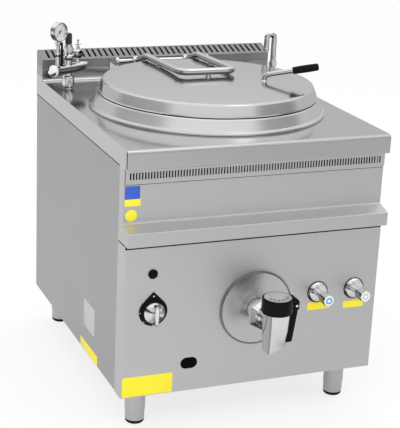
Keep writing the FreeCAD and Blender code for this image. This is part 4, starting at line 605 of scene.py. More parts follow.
def kept_nodes():
    """Finishes for the nodes whose own shape stays."""
    finishes = {
        steel_top: ("worktop",),
        steel_side_painted_shade: ("side_panel_left", "side_panel_right", "rear_panel"),
        steel_front: ("vent_panel", "console_panel", "lower_front_panel"),
        steel_back_painted_shade: ("chimney_cap",),
        steel_frame: ("base_frame", "burner"),
        steel_inner: ("pan_vessel", "steam_jacket", "lid_liner"),
        steel_flue_painted_shade: ("flue_duct",),
        steel_bar: ("drain_pipe", "safety_pipe"),
        wool: ("insulation_sleeve",),
        black_rubber: ("lid_seal",),
        brass_turned: ("gas_valve",),
        pipe_copper: ("gas_pipes", "water_pipes"),
        chromed: ("tap_pin", "vent_cock"),
        chromed_satin: ("water_valves", "tap_plug", "hinge_brackets"),
    }
    for material, nodes in finishes.items():
        for node in nodes:
            for place in NODES[node].material_slots:
                place.material = material


# Lid and pan collar

def lid():
    """Domed lid: z(r) = edge + crown * (1 - (r / top)^2), with a rounded shoulder, a tapered side
    and a hem."""
    sheet = 1.5 * MM
    radius = (lid_high[0] - lid_low[0]) / 2
    low = lid_low[2]
    edge = low + 36 * MM
    crown = lid_high[2] - edge
    top = radius - 13 * MM
    r = np.linspace(0, top - 14 * MM, 40)
    dome = np.stack([r, edge + crown * (1 - (r / top) ** 2)], -1)
    wall = rounded([dome[-1], (top, edge + 0.2 * MM), (radius, low + 4 * MM), (radius, low)],
                   mm(11, 1), 12)
    hem = [(radius - sheet, low), (radius - sheet - 0.4 * MM, low + 5 * MM)]
    inner_top = np.array([(top - sheet, edge - 8 * MM)])
    inner = np.stack([r[::-1], edge + crown * (1 - (r[::-1] / top) ** 2) - sheet], -1)
    profile = np.vstack([dome, wall[1:], hem, inner_top, inner])
    piece("lid_dome", [lathe(profile, (pan_axis[0], pan_axis[1], 0), segments=192)], steel_lid,
          "lid", ["lid_shell"], sharp=40)


def collar():
    """Cone round the pan: bead on the worktop, straight flank, and a rolled rim that runs over
    into the pan."""
    outer = (collar_high[0] - collar_low[0]) / 2
    foot, top = collar_low[2], collar_high[2]
    bead = 4 * MM
    flank_low, flank_high = outer - 9 * MM, outer - 23 * MM
    mouth = (corner("pan_vessel")[1][0] - corner("pan_vessel")[0][0]) / 2
    profile = rounded(
        [(outer - 20 * MM, foot), (outer, foot), (outer, foot + 2 * bead),
         (flank_low, foot + 2.4 * bead), (flank_high, top - 4 * MM), (flank_high - 3 * MM, top),
         (mouth - 3 * MM, top), (mouth - 3 * MM, top - 3 * MM), (flank_high - 9 * MM, top - 3 * MM),
         (flank_low - 9 * MM, foot + 6 * MM), (outer - 20 * MM, foot)],
        [bead, bead * 0.98, bead * 0.8, 3 * MM, 2.5 * MM, 1.4 * MM, 1 * MM, 2 * MM, 2 * MM], 8)
    piece("pan_cone", [lathe(profile, (pan_axis[0], pan_axis[1], 0), segments=192)], steel_collar,
          "cabinet", ["pan_collar"])


def lid_arm():
    """Tube arm: a round section carried along the U, with hinge sleeves, studs and washers."""
    high = corner("lid_arm")[1]
    hinge = middle("hinge_shaft")
    half = high[0] - 15 * MM
    front_z, rear_z = high[2] - 14 * MM, high[2] - 27 * MM
    knee_y = pan_axis[1] + 306 * MM
    path = rounded(
        [(-half, hinge[1], hinge[2]), (-half, knee_y, rear_z), (-half, pan_axis[1], front_z),
         (half, pan_axis[1], front_z), (half, knee_y, rear_z), (half, hinge[1], hinge[2])],
        mm(60, 30, 30, 60), 14)
    shells = [carried(ring(10.6 * MM, 36), path)]
    for side in (-half, half):
        sleeve = rounded(mm((7.1, -15), (15, -15), (15, 15), (7.1, 15), (7.1, -15)),
                         mm(1.5, 1.5, 0), 5)
        shells.append(lathe(sleeve, (side, hinge[1], hinge[2]), RIGHT, 48))
    stud_y, stud_z = pan_axis[1] + 188 * MM, front_z - 9 * MM
    for x, y, z in ((0, pan_axis[1], front_z), (-half, stud_y, stud_z), (half, stud_y, stud_z)):
        foot = lid_high[2] - dome_drop(math.hypot(x, y - pan_axis[1]))
        stud = [(0, foot - 1 * MM), (10 * MM, foot - 1 * MM), (10 * MM, foot + 2 * MM),
                (6 * MM, foot + 3 * MM), (6 * MM, z), (0, z)]
        shells.append(lathe(stud, (x, y, 0), segments=32))
    piece("lid_arm_tube", shells, chromed_bar, "lid", ["lid_arm"])


def lever_line():
    """Centre line of the lid lever in plan and height, from its foot to its free end."""
    low, high = corner("lever_grip")
    tip = np.array([high[0] - 7 * MM, low[1] + 6 * MM, high[2] - 9 * MM])
    bearing = (tip - pan_axis)[:2] / np.linalg.norm((tip - pan_axis)[:2])
    foot_r = 170 * MM
    foot_z = lid_high[2] - dome_drop(foot_r) - 2 * MM
    foot = np.array([*(pan_axis[:2] + bearing * foot_r), foot_z])
    knee = foot + mm(0, 0, 20)
    return foot, knee, tip


def lid_lever():
    """Bent round bar on a weld bead, and a black grip pushed over its end. The grip swells by
    radius(s) = r * (0.93 + 0.07 * sin(pi * s)) along its length."""
    foot, knee, tip = lever_line()
    path = rounded([foot, knee, tip], mm(20), 14)
    bead = rounded(mm((0, 0), (12, 0), (8, 5), (0, 5)), mm(1, 2), 4)
    piece("lid_lever_bar",
          [carried(ring(7.5 * MM, 32), path), lathe(bead, foot + mm(0, 0, 0.5), segments=40)],
          chromed_bar, "lid", ["lid_lever"])
    way = (tip - knee) / np.linalg.norm(tip - knee)
    length, radius = 79 * MM, 11.6 * MM
    s = np.linspace(0, 1, 60)
    swell = radius * (0.93 + 0.07 * np.sin(math.pi * s))
    body = np.stack([swell, s * length], -1)
    profile = np.vstack([[(7.6 * MM, 2 * MM), (radius * 0.85, 0)], body[2:-6],
                         rounded([body[-6], (radius * 0.93, length), (0, length)], mm(6), 10)[1:]])
    piece("lid_lever_grip", [lathe(profile, tip - way * 76 * MM, way, 64)], black_satin, "lid",
          ["lever_grip"])


def hinge():
    """Bright shaft with chamfered ends."""
    low, high = corner("hinge_shaft")
    centre = (low + high) / 2
    radius, end = 7 * MM, 1.2 * MM
    length = high[0] - low[0]
    profile = [(0, 0), (radius - end, 0), (radius, end), (radius, length - end),
               (radius - end, length), (0, length)]
    piece("hinge_rod", [lathe(profile, (low[0], centre[1], centre[2]), RIGHT, 48)], chromed,
          "cabinet", ["hinge_shaft"])


# Drain tap

def drain_cover():
    """Flat round cover: a narrow rolled rim round a face that lies a little behind it."""
    low, high = corner("drain_cover")
    centre = ((low[0] + high[0]) / 2, high[1], (low[2] + high[2]) / 2)
    radius = (high[0] - low[0]) / 2
    depth = high[1] - low[1]
    face = rounded([(radius - 5 * MM, depth - 5 * MM), (radius - 4.6 * MM, depth - 2 * MM),
                    (60 * MM, depth - 3 * MM), (31 * MM, depth - 2.4 * MM),
                    (31 * MM, depth - 5 * MM),
                    (radius - 5 * MM, depth - 5 * MM)], mm(0, 40, 0, 0), 9)
    rim = rounded([(radius - 1 * MM, 0), (radius, 0), (radius, depth), (radius - 5 * MM, depth),
                   (radius - 5 * MM, depth - 6 * MM), (radius - 1 * MM, 0)], mm(0, 3.4, 2, 1), 9)
    piece("drain_cover_rim", [lathe(rim, centre, FRONT, 144)], steel_rim_painted_shade, "cabinet")
    piece("drain_cover_dish", [lathe(face, centre, FRONT, 144)], steel_cover, "cabinet",
          ["drain_cover"])


def tap_axis():
    """A point on the drain tap's upright axis."""
    return middle("tap_disc")


def tap_section(half_width, half_depth, bevel, steps=5):
    """Eight-sided section with softened corners."""
    w, d, b = half_width, half_depth, bevel
    corners = [(w, -d + b), (w, d - b), (w - b, d), (-w + b, d), (-w, d - b), (-w, -d + b),
               (-w + b, -d), (w - b, -d)]
    return closed_rounded(corners, [2.2 * MM] * 8, steps)


def drain_tap():
    """Cast tap: an eight-sided section whose half width shrinks and drifts to the left on its way
    down, to a mouth that rises by 20 mm on the right, with its wall, neck, nut and collar."""
    axis = tap_axis()
    low, high = corner("tap_body")
    top, bottom = 395 * MM, low[2]
    stations = np.array([0.0, 0.12, 0.45, 0.8, 1.0])
    heights = top + (bottom - top) * stations
    halves = np.array([32.0, 31.6, 30.0, 26.6, 25.0]) * MM
    drift = np.array([0.0, 0.2, 1.0, 3.6, 5.0]) * MM
    sections = np.array([tap_section(h, h * 0.91, h * 0.20) for h in halves])
    sections[..., 1] += 0.05 * halves[:, None]
    grid = np.zeros((len(stations), sections.shape[1], 3))
    grid[..., 0] = axis[0] - drift[:, None] + sections[..., 0]
    grid[..., 1] = axis[1] + sections[..., 1]
    grid[..., 2] = heights[:, None]
    slope = np.clip((sections[-1, :, 0] - 8 * MM) / (15 * MM), 0, 1)
    grid[-1, :, 2] += 20 * MM * slope
    wall = 3.0 * MM
    shrink = (1 - wall / halves)[:, None]
    centre_x = (axis[0] - drift)[:, None]
    inner = grid.copy()
    inner[..., 0] = centre_x + (grid[..., 0] - centre_x) * shrink
    inner[..., 1] = axis[1] + (grid[..., 1] - axis[1]) * shrink
    body = np.concatenate([grid, inner[::-1][:3]], 0)
    neck_z = 354 * MM
    centre = (axis[0], high[1], neck_z)
    neck = mm((0, 0), (24, 0), (24, 90), (0, 90))
    swell = rounded(mm((0, 34), (29, 34), (29, 46), (24, 54), (24, 66), (0, 66)), mm(1, 4, 5, 1), 6)
    shells = [(body, CLOSED), lathe(neck, centre, FRONT, 56), lathe(swell, centre, FRONT, 72),
              hexagon(84 * MM, 11 * MM, 36 * MM, centre, FRONT, math.pi / 6, cut=10 * MM)]
    piece("drain_tap_body", shells, chromed, "cabinet", ["tap_body"], sharp=24)


def tap_cap():
    """Round cap with a soft top edge, a recess for the disc and a forked ear for the lever."""
    axis = tap_axis()
    low, high = corner("tap_cap")
    radius = 45 * MM
    base, top = low[2], high[2]
    recess = 38.4 * MM
    profile = rounded(
        [(0, base), (radius - 2 * MM, base), (radius, base + 5 * MM),
         (radius - 1 * MM, top - 5 * MM), (radius - 2 * MM, top), (recess + 0.4 * MM, top),
         (recess + 0.4 * MM, top - 1.2 * MM), (0, top - 1.2 * MM)],
        mm(2, 3, 3, 1.2, 0, 0), 7)
    ear_tip = 63 * MM
    shells = [lathe(profile, (axis[0], axis[1], 0), segments=96)]
    outline = closed_rounded([(38 * MM, base + 3 * MM), (ear_tip, base + 3 * MM),
                              (ear_tip, top - 14 * MM), (ear_tip - 12 * MM, top - 2 * MM),
                              (38 * MM, top - 2 * MM)], mm(0, 7, 8, 8, 0), 8)
    prong = 5.9 * MM
    for side in (7.1 * MM, -13 * MM):
        origin = (axis[0], axis[1] + side + prong, 0)
        shells.append(slab(outline, origin, RIGHT, UP, prong, 1.2 * MM))
    piece("drain_cap", shells, black_shine, "drain_cap", ["tap_cap"])
    pin = middle("tap_pin")
    head = rounded(mm((0, 0), (3.4, 0), (3.4, 0.8), (0, 1.3)), mm(0, 0.6), 4)
    piece("drain_cap_pin", [lathe(head, (pin[0], axis[1] - 12.95 * MM, pin[2]), FRONT, 24)],
          mark_white, "drain_cap")


def tap_disc():
    """Silver disc with a bevelled edge and a ring of short generic marks."""
    axis = tap_axis()
    high = corner("tap_disc")[1]
    radius = 38.4 * MM
    thick = 1.4 * MM
    profile = rounded([(0, high[2] - thick), (radius, high[2] - thick), (radius, high[2]),
                       (0, high[2])], mm(0, 0.6), 4)
    piece("drain_cap_disc", [lathe(profile, (axis[0], axis[1], 0), segments=96)], disc_silver,
          "drain_cap", ["tap_disc"])
    marks = []
    for index, angle in enumerate(np.radians(np.arange(-75, 76, 15))):
        reach = 15 * MM if index % 2 == 0 else 10 * MM
        out = np.array([math.sin(angle), -math.cos(angle), 0.0])
        across = np.array([math.cos(angle), math.sin(angle), 0.0])
        outline = [(-1.6 * MM, 0), (1.6 * MM, 0), (1.6 * MM, reach), (-1.6 * MM, reach)]
        origin = np.array([axis[0], axis[1], high[2] - 0.02 * MM]) + out * (radius - 4 * MM - reach)
        marks.append(slab(outline, origin, across, out, -0.12 * MM))
    piece("drain_cap_marks", marks, mark_black, "drain_cap")


def tap_lever():
    """Flat black lever: a curved neck over the pin and a straight blade with a soft edge."""
    low, high = corner("tap_lever")
    pin = middle("tap_pin")
    y = (low[1] + high[1]) / 2
    half = (high[1] - low[1]) / 2
    outline = closed_rounded(
        [(pin[0] - 7 * MM, pin[2] + 7 * MM), (pin[0] + 7 * MM, pin[2] + 7 * MM),
         (pin[0] + 7 * MM, pin[2] - 22 * MM), (pin[0] - 5 * MM, low[2] + 2 * MM),
         (pin[0] - 27 * MM, low[2]), (pin[0] - 18 * MM, pin[2] - 39 * MM),
         (pin[0] - 7 * MM, pin[2] - 21 * MM)],
        mm(6, 6, 14, 4, 4, 12, 6), 8)
    shells = [slab(outline, (0, y, 0), RIGHT, UP, half, 2 * MM, 5),
              slab(outline * [-1, 1], (0, y, 0), (-1, 0, 0), UP, half, 2 * MM, 5)]
    piece("drain_lever_blade", shells, black_shine, "drain_lever", ["tap_lever"])


# Gas controls

def gas_knob():
    """Bezel, a circle whose tangents meet in an index tip, with skirted knob, chromed core and
    finger bar, and white marks."""
    centre = middle("gas_knob")
    y = panel_y
    origin = (centre[0], y, centre[2])
    r, tip = 42 * MM, 60 * MM
    angle = math.asin(r / tip)
    arc = np.linspace(math.pi - angle, 2 * math.pi + angle, 90)
    circle = np.stack([r * np.cos(arc), r * np.sin(arc)], -1)
    point = rounded([circle[-1], (0, tip), circle[0]], mm(3), 6)[1:-1]
    outline = np.vstack([circle, point])
    piece("gas_bezel", [slab(outline, origin, RIGHT, UP, 3 * MM, 1 * MM, 4)], black_shine,
          "cabinet", ["knob_bezel"])
    skirt = rounded(mm((4.1, 3.3), (37, 3.3), (37, 7), (29, 12.3), (4.1, 12.3)), mm(0.8, 2.5, 2), 6)
    piece("gas_knob_skirt", [lathe(np.vstack([skirt, skirt[:1]]), origin, FRONT, 96)], black_shine,
          "gas_control", ["gas_knob"])
    core = rounded(mm((4.1, 11), (31, 10), (30.5, 13), (23, 20), (4.1, 21.3)), mm(0.5, 1.5, 5), 6)
    bar_outline = closed_rounded(
        mm((-5, -31), (5, -31), (7.5, 0), (5.5, 27), (-5.5, 27), (-7.5, 0)),
        mm(5, 5, 9, 5, 5, 9), 7)
    front = y - 12.5 * MM
    # The core's plating carries painted reflection fans.
    piece("gas_knob_core", [lathe(np.vstack([core, core[:1]]), origin, FRONT, 72)],
          plate_with_painted_fans("knob_painted_fans", 0.92, 0.08, centre), "gas_control")
    piece("gas_knob_bar", [slab(bar_outline, (centre[0], front, centre[2]), RIGHT, UP, 24.6 * MM,
                                4 * MM, 7)], chromed, "gas_control", ["knob_bar"])
    pointer = closed_rounded(mm((-1, 4), (1, 4), (1, 22), (-1, 22)), [0.6 * MM] * 4, 3)
    piece("gas_knob_pointer", [slab(pointer, (centre[0], front - 24.5 * MM, centre[2]), RIGHT, UP,
                                    0.2 * MM)], mark_white, "gas_control")
    dots = []
    for angle, radius, size in ((90, 47 * MM, 2.2 * MM), (180, 39.4 * MM, 1.5 * MM),
                                (225, 39.4 * MM, 1.5 * MM), (270, 39.4 * MM, 1.5 * MM)):
        a = math.radians(angle)
        place = (centre[0] + radius * math.cos(a), y - 2.9 * MM, centre[2] + radius * math.sin(a))
        dot = [(0, 0), (size, 0), (size * 0.8, 0.3 * MM), (0, 0.35 * MM)]
        dots.append(lathe(dot, place, FRONT, 20))
    piece("gas_bezel_dots", dots, mark_white, "cabinet")


def view_glass():
    """Dark sight glass in its rubber bed behind the viewing hole."""
    place = (-195 * MM, panel_y + 5.1 * MM, 204.5 * MM)
    half, round_end = 31 * MM, 21 * MM
    outline = closed_rounded(strip(-half, half, -round_end, round_end), [round_end * 0.98] * 4, 10)
    piece("view_hole_glass", [slab(outline, place, RIGHT, UP, 3 * MM, 0.8 * MM)], near_black_and_painted_shadow,
          "cabinet")


def painted_shadow_strips():
    """Painted shadow: near-black strips laid on the panels under the worktop's side skirts, the
    ventilation band and the console, where shade falls.
    """
    inset, lift = 3 * MM, 0.1 * MM
    band_low = corner("vent_panel")[0][2]
    skirt_low = band_low + 47 * MM
    side_low, side_high = corner("side_panel_left")
    left = strip(inset - side_high[1], -side_low[1] - inset, -2.2 * MM)
    right = [(-a, z) for a, z in left][::-1]
    piece("side_painted_shadows", [slab(left, (-cabinet_x, 0, skirt_low), FRONT, UP, 0.4 * MM),
                         slab(right, (cabinet_x, 0, skirt_low), (0, 1, 0), UP, 0.4 * MM)], near_black_and_painted_shadow,
          "cabinet")
    width = cabinet_x - inset
    under_band = strip(-width, width, -2.4 * MM)
    under_console = strip(-width, width, -13.6 * MM, -2 * MM)
    piece("front_painted_shadows",
          [slab(under_band, (0, upper_panel_y + lift, band_low), RIGHT, UP, 0.5 * MM),
           slab(under_console, (0, panel_y + lift, console_low[2]), RIGHT, UP, 0.4 * MM)], near_black_and_painted_shadow,
          "cabinet")


def igniter():
    """Black ring and domed push button."""
    x, _, z = middle("igniter_housing")
    centre = (x, panel_y, z)
    housing = rounded(mm((9.06, -36), (9.06, 4), (14, 4), (14, 0), (11, 0), (11, -42), (0, -42),
                         (0, -36), (9.06, -36)), mm(0.8, 1.8, 0, 0, 0, 0, 0), 6)
    piece("igniter_ring", [lathe(housing, centre, FRONT, 56)], black_shine, "cabinet",
          ["igniter_housing"])
    button = rounded(mm((0, -20), (9, -20), (9, 6.2), (5.5, 7), (0, 6.2)), mm(0.5, 1.2, 2), 6)
    piece("igniter_cap", [lathe(button, centre, FRONT, 48)], black_shine, "igniter_push",
          ["igniter_button"])


# Water taps

def water_taps():
    """Wall plates, and lobed tap knobs: radius(u, v) = r(v) * (1 + 0.035 * lobe(v) * cos 8u) along
    their grip, which is 96 points round."""
    plates, joints = [], []
    for side, index_colour in (("left", index_blue), ("right", label_silver)):
        node, body = "tap_knob_" + side, "water_knob_" + side
        x, _, z = middle(node)
        centre = (x, panel_y, z)
        plate = rounded(mm((11, 0), (31, 0), (31, 3), (27, 8), (14, 8.8), (11, 8.8), (11, 0)),
                        mm(0.6, 1.2, 1.5, 1, 0), 6)
        plates.append(lathe(plate, centre, FRONT, 72))
        joint = mm((30, 0.1), (32.8, 0.1), (32.8, 1.6), (30, 1.6), (30, 0.1))
        joints.append(lathe(joint, centre, FRONT, 72))
        start, end = 29.6 * MM, panel_y - corner(node)[0][1]
        length = (end - start) / MM
        heights = mm(0, 0, 1.2, 5, 9, 14, 30, length - 5, length - 1.2, length) + start
        radii = mm(4.1, 12, 13.4, 14.4, 15.8, 16.8, 17.2, 17.2, 16.9, 16)
        lobes = np.array([0, 0, 0.2, 0.5, 0.9, 1, 1, 0.7, 0.2, 0]) * 0.035
        u = np.linspace(0, 2 * math.pi, 96, endpoint=False)
        r = radii[:, None] * (1 + lobes[:, None] * np.cos(8 * u)[None])
        grid = np.stack([x + r * np.cos(u), np.broadcast_to(panel_y - heights[:, None], r.shape),
                         z + r * np.sin(u)], -1)
        piece("water_knob_body_" + side, [(grid, (False, True))], chromed, body, [node], sharp=40)
        cap = rounded([(0, end - 0.3 * MM), (14.6 * MM, end - 0.3 * MM), (14 * MM, end + 0.5 * MM),
                       (0, end + 0.9 * MM)], mm(0.3, 1), 4)
        piece("water_knob_disc_" + side, [lathe(cap, centre, FRONT, 48)], mark_white, body)
        inner, outer = 5.2 * MM, 10.2 * MM
        band = [(inner, end + 0.5 * MM), (outer, end + 0.5 * MM),
                (outer - 0.4 * MM, end + 1.1 * MM), (inner + 0.4 * MM, end + 1.15 * MM),
                (inner, end + 0.5 * MM)]
        piece("water_knob_index_" + side, [lathe(band, centre, FRONT, 48)], index_colour, body)
    piece("water_plates", plates, chromed, "cabinet", ["escutcheons"])
    piece("water_plate_joints", joints, near_black_and_painted_shadow, "cabinet")


def filling_spout():
    """Round tube carried over a tight half turn, hook * (cos u, sin u), with an inner wall, a
    rolled ring at its mouth and a closed foot."""
    low, high = corner("filling_spout")
    base = middle("spout_base")
    x, y = base[0], base[1]
    radius, hook = 9 * MM, 13.5 * MM
    bore, rim = radius - 1.5 * MM, radius + 0.8 * MM
    straight, mouth = 970 * MM, 948 * MM
    far_x, top = x - 2 * hook, high[2] - radius
    u = np.linspace(0, math.pi, 33)
    bend = np.stack([x - hook + hook * np.cos(u), np.full_like(u, y),
                     top - hook + hook * np.sin(u)], -1)
    path = np.vstack([[(x, y, low[2]), (x, y, straight)], bend,
                      [(far_x, y, straight), (far_x, y, mouth)]])
    lip = rounded([(bore, 0), (rim, 0), (rim, 8 * MM), (bore, 8 * MM), (bore, 0)], mm(0.8, 0.8, 0),
                  4)
    foot = [(bore, 0), (radius, 0), (radius, 1 * MM), (bore, 1 * MM), (bore, 0)]
    shells = [carried(ring(radius), path, caps=OPEN), carried(ring(bore), path, caps=OPEN),
              lathe(lip, (far_x, y, mouth), segments=40), lathe(foot, (x, y, low[2]), segments=40)]
    piece("spout_tube", shells, chromed, "spout", ["filling_spout"])


def spout_base():
    """Flared deck flange, standing pipe and chamfered swivel nut."""
    low, high = corner("spout_base")
    centre = middle("spout_base")
    base = low[2]
    profile = rounded([(5.5 * MM, base), (17 * MM, base), (17 * MM, base + 3 * MM),
                       (10.5 * MM, base + 9 * MM), (9 * MM, base + 20 * MM),
                       (9 * MM, high[2] - 9 * MM), (5.5 * MM, high[2] - 9 * MM),
                       (5.5 * MM, base)], mm(1, 1, 4, 6, 0, 0), 6)
    shells = [lathe(profile, (centre[0], centre[1], 0), segments=48),
              hexagon(25 * MM, 1.6 * MM, 16 * MM, (centre[0], centre[1], high[2] - 17 * MM), UP)]
    piece("spout_standpipe", shells, chromed, "cabinet", ["spout_base"])


# Safety group

def manifold():
    """Boat-shaped manifold: ring radius r(s) along its axis, with its centre raised by
    0.8 * (r(0) - r(s)) so that the top stays straight while the keel rises to the tip; a white end
    cap, neck and nut."""
    valve = middle("safety_valve_cap")
    way = manifold_way()
    base_z = corner("safety_manifold")[0][2]
    centre = np.array([valve[0], valve[1], manifold_z])
    along = np.concatenate([[-66.0, -65.0], np.linspace(-60, 74, 40), [78.0, 81.0, 82.0]]) * MM
    share = np.clip((along - 12 * MM) / (70 * MM), 0, 1)
    full = 17 * MM
    hull_radius = full * np.sqrt(np.clip(1 - share ** 2.6, 0.004, 1))
    hull_radius[0] *= 0.9
    spine = centre + way * along[:, None]
    spine[:, 2] += 0.8 * (full - np.maximum(hull_radius, 3 * MM))
    hull = carried(ring(1.0, 64)[None] * hull_radius[:, None, None], spine, UP)
    neck = rounded([(0, base_z), (17 * MM, base_z), (17 * MM, base_z + 3.5 * MM),
                    (12 * MM, base_z + 5.5 * MM), (12 * MM, manifold_z),
                    (0, manifold_z)], mm(1, 1.2, 0, 0), 5)
    collar_ring = rounded(mm((0, 884), (19, 884), (19, 889), (13, 893), (0, 893)), mm(1, 1.5, 2), 4)
    shells = [hull, lathe(neck, (valve[0], valve[1], 0), segments=48),
              lathe(collar_ring, (valve[0], valve[1], 0), segments=48),
              hexagon(36 * MM, 2.4 * MM, 30 * MM, (valve[0], valve[1], base_z + 6 * MM), UP, 0.4)]
    piece("safety_manifold_hull", shells, chromed, "cabinet", ["safety_manifold"])
    cap = rounded(mm((0, -66.5), (15, -66.5), (18, -64), (18, -57), (0, -57)), mm(2, 2, 0.6), 6)
    piece("manifold_end_cap", [lathe(cap, centre, way, 48)], mark_white, "cabinet")


def gauge():
    """Gauge: rolled case, white dial with its ring of ticks, needle and glass."""
    glass_centre = middle("gauge_glass")
    way = glass_centre - middle("gauge_case")
    way[2] = 0
    way /= np.linalg.norm(way)
    up = np.array(UP, float)
    right = np.cross(up, way)
    radius, depth = 30.5 * MM, 22 * MM
    back = glass_centre + way * (1.2 * MM - depth)
    profile = rounded([(0, 0), (radius - 3 * MM, 0), (radius - 1.2 * MM, 2.5 * MM),
                       (radius - 1.2 * MM, depth - 7 * MM), (radius, depth - 6 * MM),
                       (radius, depth), (radius - 3 * MM, depth),
                       (radius - 3.4 * MM, depth - 8 * MM), (0, depth - 8 * MM)],
                      mm(2, 1.5, 0.6, 0.6, 2.2, 1, 0), 6)
    piece("gauge_drum", [lathe(profile, back, way, 80)], chromed, "cabinet", ["gauge_case"])
    dial_place = back + way * (depth - 8 * MM)
    dial = [(0, 0), (radius - 3.6 * MM, 0), (radius - 3.6 * MM, 0.2 * MM), (0, 0.2 * MM)]
    piece("gauge_dial", [lathe(dial, dial_place, way, 64)], dial_white_painted_glow, "cabinet")
    ticks = []
    for index, angle in enumerate(np.radians(np.linspace(-135, 135, 28))):
        out = right * math.sin(angle) + up * math.cos(angle)
        across = np.cross(way, out)
        long_tick = index % 3 == 0
        reach = (4.6 if long_tick else 2.6) * MM
        thick = (0.55 if long_tick else 0.3) * MM
        outline = [(-thick, 0), (thick, 0), (thick, reach), (-thick, reach)]
        origin = dial_place + way * 0.15 * MM + out * (radius - 5 * MM - reach)
        ticks.append(slab(outline, origin, -across, out, 0.15 * MM))
    piece("gauge_ticks", ticks, mark_black, "cabinet")
    pane = [(0, 0), (radius - 3.1 * MM, 0), (radius - 3.1 * MM, 1.2 * MM), (0, 1.4 * MM)]
    piece("gauge_pane", [lathe(pane, back + way * (depth - 2.2 * MM), way, 64)], glass, "cabinet",
          ["gauge_glass"])
    hub = rounded(mm((0, 0), (3.4, 0), (3.4, 1.4), (0, 2)), mm(0.2, 0.8), 4)
    hub_place = back + way * (depth - 7.0 * MM)
    angle = math.radians(-135)
    out = right * math.sin(angle) + up * math.cos(angle)
    across = np.cross(way, out)
    outline = mm((-0.9, -15), (0.9, -15), (1.0, 0), (0.4, 21), (-0.4, 21), (-1.0, 0))
    piece("gauge_pointer_blade", [lathe(hub, hub_place, way, 24),
                                  slab(outline, hub_place + way * 0.5 * MM, -across, out,
                                       0.6 * MM)], mark_black, "gauge_pointer", ["gauge_needle"])


def gauge_stem():
    """Turned stem under the gauge, with a waist, ring and nut and its cock, 44 mm left of the valve
    on the manifold's line."""
    valve = middle("safety_valve_cap")
    x, y, _ = valve - manifold_way() * 44 * MM
    base, top = 905 * MM, middle("gauge_case")[2] - 28 * MM
    profile = rounded([(0, base), (9 * MM, base), (8 * MM, base + 24 * MM),
                       (6.8 * MM, base + 52 * MM), (8.6 * MM, base + 58 * MM),
                       (8.6 * MM, base + 62 * MM), (6 * MM, base + 66 * MM), (5.5 * MM, top),
                       (0, top)], mm(1, 30, 4, 1.5, 1.5, 3, 0), 6)
    shells = [lathe(profile, (x, y, 0), segments=48),
              hexagon(18 * MM, 1.2 * MM, 10 * MM, (x, y, top - 14 * MM), UP, 0.3),
              carried(ring(3.6 * MM, 20),
                      [(x, y, base + 60 * MM), (x + 19 * MM, y - 9 * MM, base + 60 * MM)])]
    piece("gauge_column", shells, chromed, "cabinet", ["gauge_stem"])
    outline = closed_rounded(mm((-4.5, 0), (4.5, 0), (3.2, 76), (-3.2, 76)), mm(2, 2, 3, 3), 6)
    foot = (x + 9.5 * MM, y - 11 * MM, 928 * MM)
    piece("gauge_cock_handle", [slab(outline, foot, (0.92, -0.39, 0), UP, 5 * MM, 1.2 * MM)],
          black_satin, "cabinet")


def safety_valve():
    """Stacked valve body: waist, flange, hexagon and bonnet, with a dark cap whose ribs are
    radius(u) = r * (1 - depth * (1 + cos 12u) / 2), 120 points round."""
    valve = middle("safety_valve_cap")
    low = manifold_z
    profile = rounded([(0, low), (13 * MM, low), (12 * MM, low + 30 * MM),
                       (17.8 * MM, low + 37 * MM), (17.8 * MM, low + 44 * MM),
                       (12 * MM, low + 49 * MM), (0, low + 49 * MM)], mm(1, 6, 1.5, 1.5, 2), 6)
    bonnet = rounded([(0, low + 70 * MM), (13 * MM, low + 70 * MM), (11 * MM, low + 78.8 * MM),
                      (0, low + 78.8 * MM)], mm(1, 2), 5)
    band = rounded([(12.5 * MM, low + 33 * MM), (14.6 * MM, low + 33 * MM),
                    (14.6 * MM, low + 37 * MM), (12.5 * MM, low + 37 * MM),
                    (12.5 * MM, low + 33 * MM)], mm(0.5, 0.5, 0), 3)
    centre = (valve[0], valve[1], 0)
    shells = [lathe(profile, centre, segments=56), lathe(bonnet, centre, segments=48),
              hexagon(27 * MM, 2 * MM, 22 * MM, (valve[0], valve[1], low + 49 * MM), UP, 0.2)]
    piece("safety_valve_body", shells, chromed, "cabinet", ["safety_valve"])
    piece("safety_valve_band", [lathe(band, centre, segments=48)], black_satin, "cabinet")
    cap_low, cap_high = corner("safety_valve_cap")
    heights = np.array([0, 1, 3, 30, 33, 34.5, 35]) / 35 * (cap_high[2] - cap_low[2]) + cap_low[2]
    radii = np.array([9.4, 10.6, 10.8, 10.7, 9.8, 6.4, 0.0]) * MM
    depth = np.array([0, 0.3, 1, 1, 0.6, 0.2, 0]) * 0.07
    u = np.linspace(0, 2 * math.pi, 120, endpoint=False)
    r = radii[:, None] * (1 - depth[:, None] * (0.5 + 0.5 * np.cos(12 * u))[None])
    grid = np.stack([valve[0] + r * np.cos(u), valve[1] + r * np.sin(u),
                     np.broadcast_to(heights[:, None], r.shape)], -1)
    piece("safety_valve_bonnet_cap", [(grid, (True, False))], grey_ribbed, "cabinet",
          ["safety_valve_cap"], sharp=45)


def vent_handle():
    """Small turned pin with a ball end and cross bar."""
    low, high = corner("vent_lever")
    x, y, _ = (low + high) / 2
    profile = rounded([(0, low[2]), (2.5 * MM, low[2]), (2.5 * MM, high[2] - 8 * MM),
                       (0, high[2] - 8 * MM)], mm(0.3, 0), 3)
    bar_z = low[2] + 14 * MM
    bar = carried(ring(2.2 * MM, 20), [(x - 9 * MM, y, bar_z), (x + 9 * MM, y, bar_z)])
    piece("vent_pin",
          [lathe(profile, (x, y, 0), segments=28), ball((x, y, high[2] - 4 * MM), 4 * MM), bar],
          chromed, "vent_handle", ["vent_lever"])


# Legs

